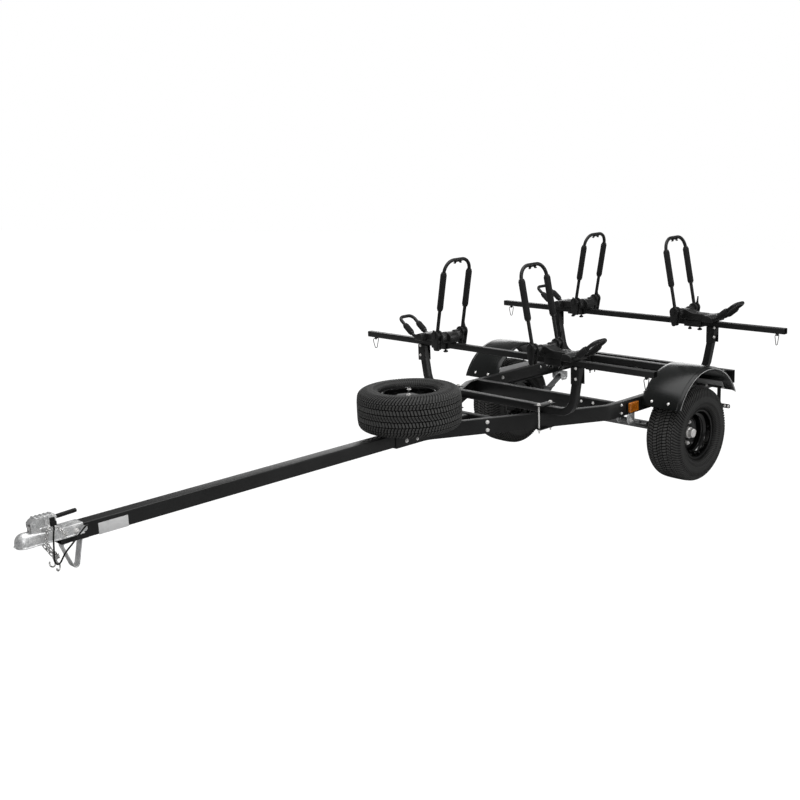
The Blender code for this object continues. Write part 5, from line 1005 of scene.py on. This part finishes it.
bolts = [copied(bolt_pattern,
                shift(sign * 0.0350, TONGUE_FRONT_Y + back, FRAME_Z + 0.010) @ turned(sign * pi / 2, "Y"))
         for back in (0.018, 0.066) for sign in BOTH]
put(joined(bolts), "coupler_side_bolts", "zinc_plated_steel", "", CHASSIS, 30.0)
print("coupler:", len(bolts), "side bolts")

# %% Latch lever
LATCH_HALF, LATCH_GAUGE = 0.0205, 0.0025


def latch():
    """The lever about its pin: a channel lofted through U sections, ribs over it and a wall at its tail."""
    sections = mm((-14, -12, 8), (-4, -13.5, 18), (6, -13.8, 23.8), (16, -14.2, 25.6), (48, -16, 25.8),
                  (84, -6.8, 25.8), (90, -4.5, 24))
    bore = LATCH_HALF - LATCH_GAUGE
    points, faces = [], []
    for y, low, top in sections:
        ceiling = top - LATCH_GAUGE
        points += [(LATCH_HALF, y, low), (LATCH_HALF, y, top), (-LATCH_HALF, y, top), (-LATCH_HALF, y, low),
                   (-bore, y, low), (-bore, y, ceiling), (bore, y, ceiling), (bore, y, low)]
    for j in range(len(sections) - 1):
        faces += [(8 * j + i, 8 * j + (i + 1) % 8, 8 * j + 8 + (i + 1) % 8, 8 * j + 8 + i) for i in range(8)]
    faces += [tuple(range(8)), tuple(range(len(points) - 1, len(points) - 9, -1))]
    pieces = [rounded(outward(mesh_object(points, (), faces)), 0.0011, 2, 40.0)]
    for y in (0.0100 + 0.0165 * k for k in range(5)):
        pieces.append(block((-0.0196, y - 0.0032, 0.0225), (0.0196, y + 0.0032, 0.0284), 0.0014))
        pieces += [block((sign * 0.0195, y - 0.0032, -0.0080), (sign * 0.0228, y + 0.0032, 0.0262), 0.0014)
                   for sign in BOTH]
    neck = spun(mm((0, 0), (0, 5.4), (15.6, 5.4), (15.6, 0)), 24, "Y")
    return joined(pieces + [block((-0.0182, 0.0866, -0.0040), (0.0182, 0.0896, 0.0238), 0.0008),
                            moved(neck, GRIP_TURN)])


GRIP_TURN = shift(0, 0.0846, 0.007) @ turned(radians(3.0), "X")
LEVER = CHASSIS @ shift(0, PIVOT_Y, PIVOT_Z)
put(latch(), "latch_channel", "galvanised_steel", "coupler_latch_lever", LEVER, 34.0)
grip = [spun(mm((15, 0), (15, 5.6), (15.2, 7.2), (16.5, 8.3), (30, 8.5), (94, 8.5), (98.5, 7.8), (100, 6),
                (100, 0)), 32, "Y")]
ring = spun(mm((26, 8), (26.8, 9), (28.2, 9), (29, 8)), 32, "Y")
grip += [copied(ring, shift(0, 0.0075 * k)) for k in range(9)]
put(joined(grip), "latch_grip", "cable_rubber", "", LEVER @ GRIP_TURN, 40.0, BODY_OF["coupler_latch_lever"])
print("latch lever with its grip")

# %% [markdown]
# ## Fenders, springs and lamps
# The fenders are vacuum-formed: one arched skin with a rolled lip and a pressed step along both edges,
# carried on flat braces by low round-headed bolts. The slipper springs are real leaves with rebound clips,
# and each lamp is a black housing under a ribbed or pressed lens.

# %% Fasteners
def carriage_bolt(radius=0.0078, rise=0.0042):
    return spun([(-0.001, 0.0), (-0.001, radius * 0.98), (0.0006, radius), (rise * 0.5, radius * 0.82),
                 (rise * 0.9, radius * 0.45), (rise, 0.0)], 24, "Z")


def bolt(radius, rise):
    """A hex head on its washer, with the thread's end standing a little proud."""
    return joined([hexagon(radius, rise, radius * 1.22, 0.0013),
                   rod(0.0, rise + 0.0034, radius * 0.46, radius * 0.36, 0.0008)])


def scattered(pattern, places, name, both=True, finish="zinc_plated_steel", body="chassis"):
    """Copies of a small part at (place, way) pairs on the left, and on the right too, as one piece."""
    spots = [facing(place, way) for place, way in places]
    if both:
        spots += [MIRROR @ spot for spot in spots]
    return put(joined([copied(pattern, spot) for spot in spots]), name, finish, "", CHASSIS, 30.0, body)


round_head, hex_head, small_hex = carriage_bolt(), bolt(0.0082, 0.0060), bolt(0.0062, 0.0046)
print("three kinds of bolt")

# %% Fenders
ARCH_Y, ARCH_Z, ARCH_R, ARCH_OUT, ARCH_IN = 0.010, 0.327, 0.303, 0.760, 0.5153
ARCH_FRONT, ARCH_REAR, REAR_ARM = 157.0, 25.0, radians(27.5)


def fender():
    """The left fender's skin, its section turned about the arch's own axis, and the hem along its edge."""
    outer = [(ARCH_IN, -0.0140), (ARCH_IN, -0.0064), (ARCH_IN + 0.0010, -0.0046), (ARCH_IN + 0.0200, -0.0008),
             (ARCH_IN + 0.0235, 0.0), (ARCH_OUT - 0.0235, 0.0), (ARCH_OUT - 0.0205, -0.0006),
             (ARCH_OUT - 0.0185, -0.0030),
             (ARCH_OUT - 0.0045, -0.0042), (ARCH_OUT - 0.0012, -0.0056), (ARCH_OUT, -0.0080),
             (ARCH_OUT, -0.0140)]
    under = [(ARCH_OUT - 0.0025, -0.0140), (ARCH_OUT - 0.0026, -0.0084), (ARCH_OUT - 0.0050, -0.0068),
             (ARCH_OUT - 0.0190, -0.0055), (ARCH_OUT - 0.0225, -0.0025), (ARCH_IN + 0.0225, -0.0025),
             (ARCH_IN + 0.0030, -0.0072), (ARCH_IN + 0.0025, -0.0140)]
    start, count = radians(ARCH_FRONT), len(outer + under)
    skin = mesh_object([(x, (ARCH_R + rise) * cos(start), (ARCH_R + rise) * sin(start))
                        for x, rise in outer + under],
                       [(i, (i + 1) % count) for i in range(count)])
    edit(skin, (bpy.ops.mesh.spin, {"steps": 72, "angle": radians(ARCH_FRONT - ARCH_REAR),
                                    "center": (0, 0, 0), "axis": (1, 0, 0)}),
         (bpy.ops.mesh.fill_holes, {"sides": 0}))
    lip = ARCH_R - 0.0116
    hem = swept([(ARCH_OUT - 0.0019, lip * cos(radians(a)), lip * sin(radians(a)))
                 for a in range(26, 157, 2)], 0.0026, 12)
    return rounded(outward(skin), 0.0005, 1, 34.0), hem


def on_arch(angle, radius, inwards=1):
    """Two (place, way) pairs on the arch, where a flat brace crosses it."""
    way = Vector((0, cos(angle), sin(angle)))
    return [(Vector((x, ARCH_Y, ARCH_Z)) + radius * way, inwards * way) for x in (0.582, 0.684)]


skin, hem = fender()
ARCH = shift(0, ARCH_Y, ARCH_Z)
# The hem along the lip gets a light finish that is a painted highlight.
put_both((skin, "fender_skin", "fender_plastic", "fender", ARCH, 40.0),
         (hem, "fender_hem", "rubbed_hem", "", ARCH, 60.0))
scattered(round_head, on_arch(radians(151.6), 0.3032) + on_arch(REAR_ARM, 0.3032), "fender_bolts")
scattered(small_hex, on_arch(REAR_ARM, 0.2958, -1), "fender_nuts")
print("fenders:", len(skin.data.polygons), "faces in a skin")

# %% Leaf springs
SPRING_X, SEAT, TAPER, SHORT = 0.470, 0.054, 1.35, 0.6
PIN_Y, PIN_Z = -0.330, 0.3707
BEAM_TOP = AXLE_Z + 0.01905 + 0.0003


def leaf(front, rear, middle, gauge, width, lower=0.0):
    """One leaf: flat over the axle, then curving up to each (y, z) end, its corners rolled."""
    places = []
    for (y, z), sign in ((front, -1), (rear, 1)):
        half = [Vector((0.0, sign * (SEAT + (abs(y) - SEAT) * k / 16),
                        middle - lower + (z - middle) * (k / 16) ** TAPER))
                for k in range(17)]
        places += half[::sign]
    points, faces = [], []
    for k, place in enumerate(places):
        way = (places[min(k + 1, len(places) - 1)] - places[max(k - 1, 0)]).normalized()
        normal = Vector((0, -way.z, way.y))
        points += [place + normal * (up * gauge / 2) + Vector((across * width / 2, 0, 0))
                   for across, up in ((-1, -1), (1, -1), (1, 1), (-1, 1))]
        if k:
            faces += [(4 * k + i, 4 * k + (i + 1) % 4, 4 * k + (i + 1) % 4 - 4, 4 * k + i - 4)
                      for i in range(4)]
    faces += [(3, 2, 1, 0), tuple(range(len(points) - 4, len(points)))]
    return rounded(outward(mesh_object(points, (), faces)), 0.0014, 2, 40.0)


def spring():
    """The main leaf with its rolled eye, and the short leaf under it."""
    middle = BEAM_TOP + 0.0105
    ends = [(PIN_Y + 0.004, PIN_Z - 0.0105), (0.315, 0.4023)]
    short = [((SEAT + (abs(y) - SEAT) * SHORT) * (1 if y > 0 else -1), middle + (z - middle) * SHORT ** TAPER)
             for y, z in ends]
    eye = spun(mm((-22.2, 7.6), (-22.2, 12.5), (-21.2, 13.8), (21.2, 13.8), (22.2, 12.5), (22.2, 7.6)), 32)
    return joined([leaf(*ends, middle, 0.0068, 0.0440), leaf(*short, middle, 0.0064, 0.0430, 0.0068),
                   moved(eye, shift(0, PIN_Y, PIN_Z))])


def rebound_clip(y, z, slope):
    """A band folded round both leaves, with its bolt across the top."""
    band = slab(mm((-25, -12.5), (25, -12.5), (25, 11.5), (22.2, 11.5), (22.2, -10), (-22.2, -10),
                   (-22.2, 11.5), (-25, 11.5)), "Y", -0.010, 0.010, 0.0007)
    through = spun(mm((-30, 0), (-30, 5.2), (-25.5, 5.2), (-25, 2.8), (25, 2.8), (25.5, 5.2), (29.5, 5.2),
                      (30, 0)), 12)
    return moved(joined([band, moved(through, shift(0, 0, 0.0085))]), shift(0, y, z) @ turned(slope, "X"))


clips = joined([rebound_clip(-0.165, 0.3170, -0.30), rebound_clip(0.165, 0.3270, 0.36)])
SPRING_AT = shift(SPRING_X)
put_both((spring(), "leaves", "grey_painted_steel", "leaf_spring", SPRING_AT, 34.0),
         (clips, "spring_clips", "grey_painted_steel", "", SPRING_AT, 34.0, BODY_OF["leaf_spring_left"]))
seat_nuts = [((SPRING_X + sx * 0.0275, sy * 0.0244, BEAM_TOP + 0.0213), (0, 0, 1))
             for sx in BOTH for sy in BOTH]
scattered(hexagon(0.0092, 0.0075, 0.0105, 0.0012), seat_nuts, "spring_bolt_nuts", body=BODY_OF["axle_beam"])
pins = [((SPRING_X + 0.0352, y, z), (1, 0, 0)) for y, z in ((PIN_Y, PIN_Z), (0.285, 0.3770))]
scattered(hex_head, pins, "spring_pin_heads")
print("two spring packs")

# %% Lamps
def side_marker():
    """A black base with a reflector lens: a raised rim round a grid of small prisms."""
    cells = [(-0.0285 + 0.0570 * i / 8, -0.0180 + 0.0360 * j / 5) for i in range(9) for j in range(6)]
    prisms = [block((0.5300, y - 0.0028, z - 0.0028), (0.5322, y + 0.0028, z + 0.0028)) for y, z in cells]
    return (block((0.5103, -0.0400, -0.0290), (0.5170, 0.0400, 0.0290), 0.0016),
            joined([block((0.5160, -0.0365, -0.0258), (0.5310, 0.0365, 0.0258), 0.0030, 3)] + prisms))


def tail_lamp():
    """A black housing with the stop lens and its ribs, from its middle."""
    ribs = [block((-0.0430, 0.0380, z - 0.0011), (0.0155, 0.0402, z + 0.0011), 0.0006)
            for z in (-0.0330 + 0.0067 * k for k in range(7))]
    return (block((-0.0525, 0.0003, -0.0425), (0.0250, 0.0250, 0.0190), 0.0030, 3),
            joined([block((-0.0490, 0.0230, -0.0390), (0.0215, 0.0395, 0.0155), 0.0070, 4)] + ribs))


(base, amber), (housing, red) = side_marker(), tail_lamp()
MARKER_AT, LAMP_AT = shift(0, -0.335, FRAME_Z), shift(0.4975, 0.622, FRAME_Z)
put_both((base, "marker_base", "cable_rubber", "", MARKER_AT),
         (amber, "marker_lens", "amber_lens", "side_marker", MARKER_AT, 24.0),
         (housing, "tail_lamp_housing", "cable_rubber", "", LAMP_AT),
         (red, "tail_lamp_lens", "red_lens", "tail_lamp", LAMP_AT, 24.0))
print("four lamps")

# %% [markdown]
# ## Bolts, rings and the blank plate
# Bright bolts stand out on black steel, so each one that the photograph shows is set where it shows it. The
# tie rings are plain bent wire. The plate on the tongue's side is left bare.

# %% Tie rings
for name in (end + "_" + side for end in YOKE_Y for side in HANDS):
    wire = swept(bent(mm((0, 0.5, 0), (0, 22.5, 0), (0, 6.9, -55.6), (0, -6.9, -55.6), (0, -22.5, 0),
                         (0, -0.5, 0)), 0.007, 6), 0.0021, 12)
    pivot = shift(*JOINTS["ring_swing_" + name]["pos_m"]) @ TILT
    put(wire, "tie_ring_wire_" + name, "black_powder_coat", "tie_ring_" + name, pivot)
print("four tie rings")

# %% Bolts
OUTWARDS, FORWARDS, SLANT = (1, 0, 0), (0, -1, 0), Vector((1, -0.553, 0)).normalized()
RAIL_FACE, INNER_FACE = 0.5102, -0.5060
rail_bolts = [((0.0362, -1.448, 0.431), OUTWARDS)]
rail_bolts += [((RAIL_FACE, -0.4226, z), OUTWARDS) for z in (0.4718, 0.4288)]
scattered(small_hex, rail_bolts, "rail_bolts")
cross_bolts = [((INNER_FACE, 0.1424, 0.4597), OUTWARDS), ((INNER_FACE, 0.2002, 0.4607), OUTWARDS)]
cross_bolts += [((x, -0.4782, 0.474), FORWARDS) for x in (0.292, 0.369)]
scattered(small_hex, cross_bolts, "cross_bolts", both=False)
large_bolts = [((0.0362, -1.520, 0.4376), OUTWARDS)]
large_bolts += [((0.1890, -1.1040, z), SLANT) for z in (0.4700, 0.4292)]
scattered(hex_head, large_bolts, "large_rail_bolts")
scattered(hex_head, [((INNER_FACE, -0.2089, 0.4532), OUTWARDS)], "far_rail_bolt", both=False)
post_bolts = [((x, y, z), FORWARDS) for x, y, heights in ((0.5444, -0.8458, (0.7435, 0.6899)),
                                                          (0.5750, 0.3488, (0.7745, 0.7229)))
              for z in heights]
scattered(small_hex, post_bolts, "post_bolts")
member_bolts = [((-0.415, 0.6178, 0.4370), FORWARDS), ((-0.127, 0.6178, 0.4245), FORWARDS)]
scattered(small_hex, member_bolts, "member_bolts", both=False)
print("bolts:", sum(map(len, (rail_bolts, cross_bolts, large_bolts, post_bolts, member_bolts))), "places")

# %% Rail clamps
CLAMP_X, CLAMP_Y, ROD_REACH = 0.3255, -0.822, 0.04515
TOP_PLATE, LOW_PLATE = (0.5258, 0.5308), (0.4056, 0.4106)
plates = joined([block((CLAMP_X - 0.025, CLAMP_Y - 0.0571, low),
                       (CLAMP_X + 0.025, CLAMP_Y + 0.0571, high), 0.0014)
                 for low, high in (TOP_PLATE, LOW_PLATE)])
long_bolt = spun(mm((384.2, 0), (384.2, 3.6), (385, 4.2), (540.5, 4.2), (541.3, 3.6), (541.3, 0)), 20, "Z")
clamp_nut = hexagon(0.0092, 0.0080, 0.0112, 0.0014)
rods = []
for y in (CLAMP_Y - ROD_REACH, CLAMP_Y + ROD_REACH):
    rods += [copied(long_bolt, shift(CLAMP_X, y)), copied(clamp_nut, shift(CLAMP_X, y, TOP_PLATE[1])),
             copied(clamp_nut, facing((CLAMP_X, y, LOW_PLATE[0]), (0, 0, -1)))]
put_both((plates, "clamp_plates", "black_powder_coat", "yoke_clamp", WORLD),
         (joined(rods), "clamp_bolts", "zinc_plated_steel", "yoke_clamp", WORLD))
print("two rail clamps")

# %% Spare wheel's nuts
stud = rod(0.600, 0.678, 0.0050, 0.0042)
STUDS = [shift(sign * 0.0407, -1.459 - sign * 0.0407) for sign in BOTH]
put(joined([copied(clamp_nut, place @ shift(0, 0, 0.6640)) for place in STUDS]), "spare_top_nuts",
    "zinc_plated_steel", "", CHASSIS, 30.0)
put(joined([copied(stud, place) for place in STUDS]), "spare_long_studs", "black_powder_coat", "", CHASSIS,
    30.0)
print("spare wheel bolted down")

# %% Blank plate and number plate bar
put(block((0.0316, -3.183, 0.4158), (0.0326, -3.0515, 0.4630), 0.0004), "blank_label_plate", "blank_plate")
bar = [slab(mm((436, 252), (517, 252), (522.5, 254.5), (525, 260), (525, 269), (522.5, 274.5), (517, 277),
               (436, 277)), "Y", 0.6185, 0.6218, 0.0009),
       block((0.4360, 0.6222, 0.2560), (0.4600, 0.6250, 0.4060), 0.0010)]
put(joined(bar), "number_plate_bar", "black_powder_coat")
scattered(round_head, [((0.491, 0.6185, 0.2650), FORWARDS), ((0.513, 0.6185, 0.2640), FORWARDS)],
          "plate_bar_bolts", False)
print("plate and bar")

# %% Clear the bench
for obj in [obj for obj in bpy.context.scene.objects if obj.type == "MESH" and "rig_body" not in obj]:
    bpy.data.objects.remove(obj)

# %% [markdown]
# ## Floor and light
# A white studio: the world reads as white to the camera and through glass, and the floor nearly white to the
# camera, while what lights the trailer is four soft lamps, so black paint stays black and only its edges and
# tops catch light.

# %% Stage
WHITE = (1.0, 1.0, 1.0, 1.0)


def two_faced(tree, share, dim, bright, output):
    """Shows the bright shader to the rays that the share picks out, and the dim one to the rest."""
    both = tree.nodes.new("ShaderNodeMixShader")
    for socket, source in enumerate((share, dim, bright)):
        tree.links.new(source.outputs[0], both.inputs[socket])
    tree.links.new(both.outputs[0], tree.nodes.new(output).inputs["Surface"])


def shader(tree, kind, strength=None, color=WHITE):
    made = tree.nodes.new(kind)
    made.inputs["Color"].default_value = color
    if strength is not None:
        made.inputs["Strength"].default_value = strength
    return made


def cleared(owner):
    owner.use_nodes = True
    owner.node_tree.nodes.clear()
    return owner.node_tree


def backdrop_world():
    """White to the camera and through glass, dim as a light."""
    world = bpy.data.worlds.new("studio")
    tree = cleared(world)
    rays, seen = tree.nodes.new("ShaderNodeLightPath"), tree.nodes.new("ShaderNodeMath")
    seen.operation = "MAXIMUM"
    tree.links.new(rays.outputs["Is Camera Ray"], seen.inputs[0])
    tree.links.new(rays.outputs["Is Transmission Ray"], seen.inputs[1])
    two_faced(tree, seen, shader(tree, "ShaderNodeBackground", 0.28),
              shader(tree, "ShaderNodeBackground", 1.0), "ShaderNodeOutputWorld")
    bpy.context.scene.world = world


def studio_floor():
    """Nearly white to the camera, with a share of the contact shadows, and matt grey as a light."""
    bpy.ops.mesh.primitive_plane_add(size=90.0, location=(0, 0, -0.0004))
    floor = bpy.context.object
    floor.name = "studio_floor"
    stuff = bpy.data.materials.new("studio_floor")
    tree = cleared(stuff)
    rays, share = tree.nodes.new("ShaderNodeLightPath"), tree.nodes.new("ShaderNodeMath")
    share.operation = "MULTIPLY"
    share.inputs[1].default_value = 0.93
    tree.links.new(rays.outputs["Is Camera Ray"], share.inputs[0])
    two_faced(tree, share, shader(tree, "ShaderNodeBsdfDiffuse", color=grey(0.45)),
              shader(tree, "ShaderNodeEmission", 1.14), "ShaderNodeOutputMaterial")
    floor.data.materials.append(stuff)


def soft_lamp(name, place, target, width, height, watts):
    data = bpy.data.lights.new(name, "AREA")
    data.shape = "RECTANGLE"
    data.size, data.size_y, data.energy = width, height, watts
    shown(bpy.data.objects.new(name, data)).matrix_world = facing(place, Vector(place) - Vector(target))


backdrop_world()
studio_floor()
soft_lamp("overhead", (0.4, -0.2, 4.6), (0, 0, 0.4), 4.6, 5.6, 255.0)
soft_lamp("front_left", (4.8, -3.4, 2.9), (0, 0, 0.5), 1.3, 1.6, 62.0)
soft_lamp("rear_left", (4.6, 4.2, 2.2), (0.3, 0.8, 0.5), 0.9, 2.0, 60.0)
soft_lamp("behind", (-5.2, 6.0, 1.9), (0, 0.4, 0.6), 9.0, 3.0, 160.0)
print("stage and four lamps")

# %% Finish
print("scene built")
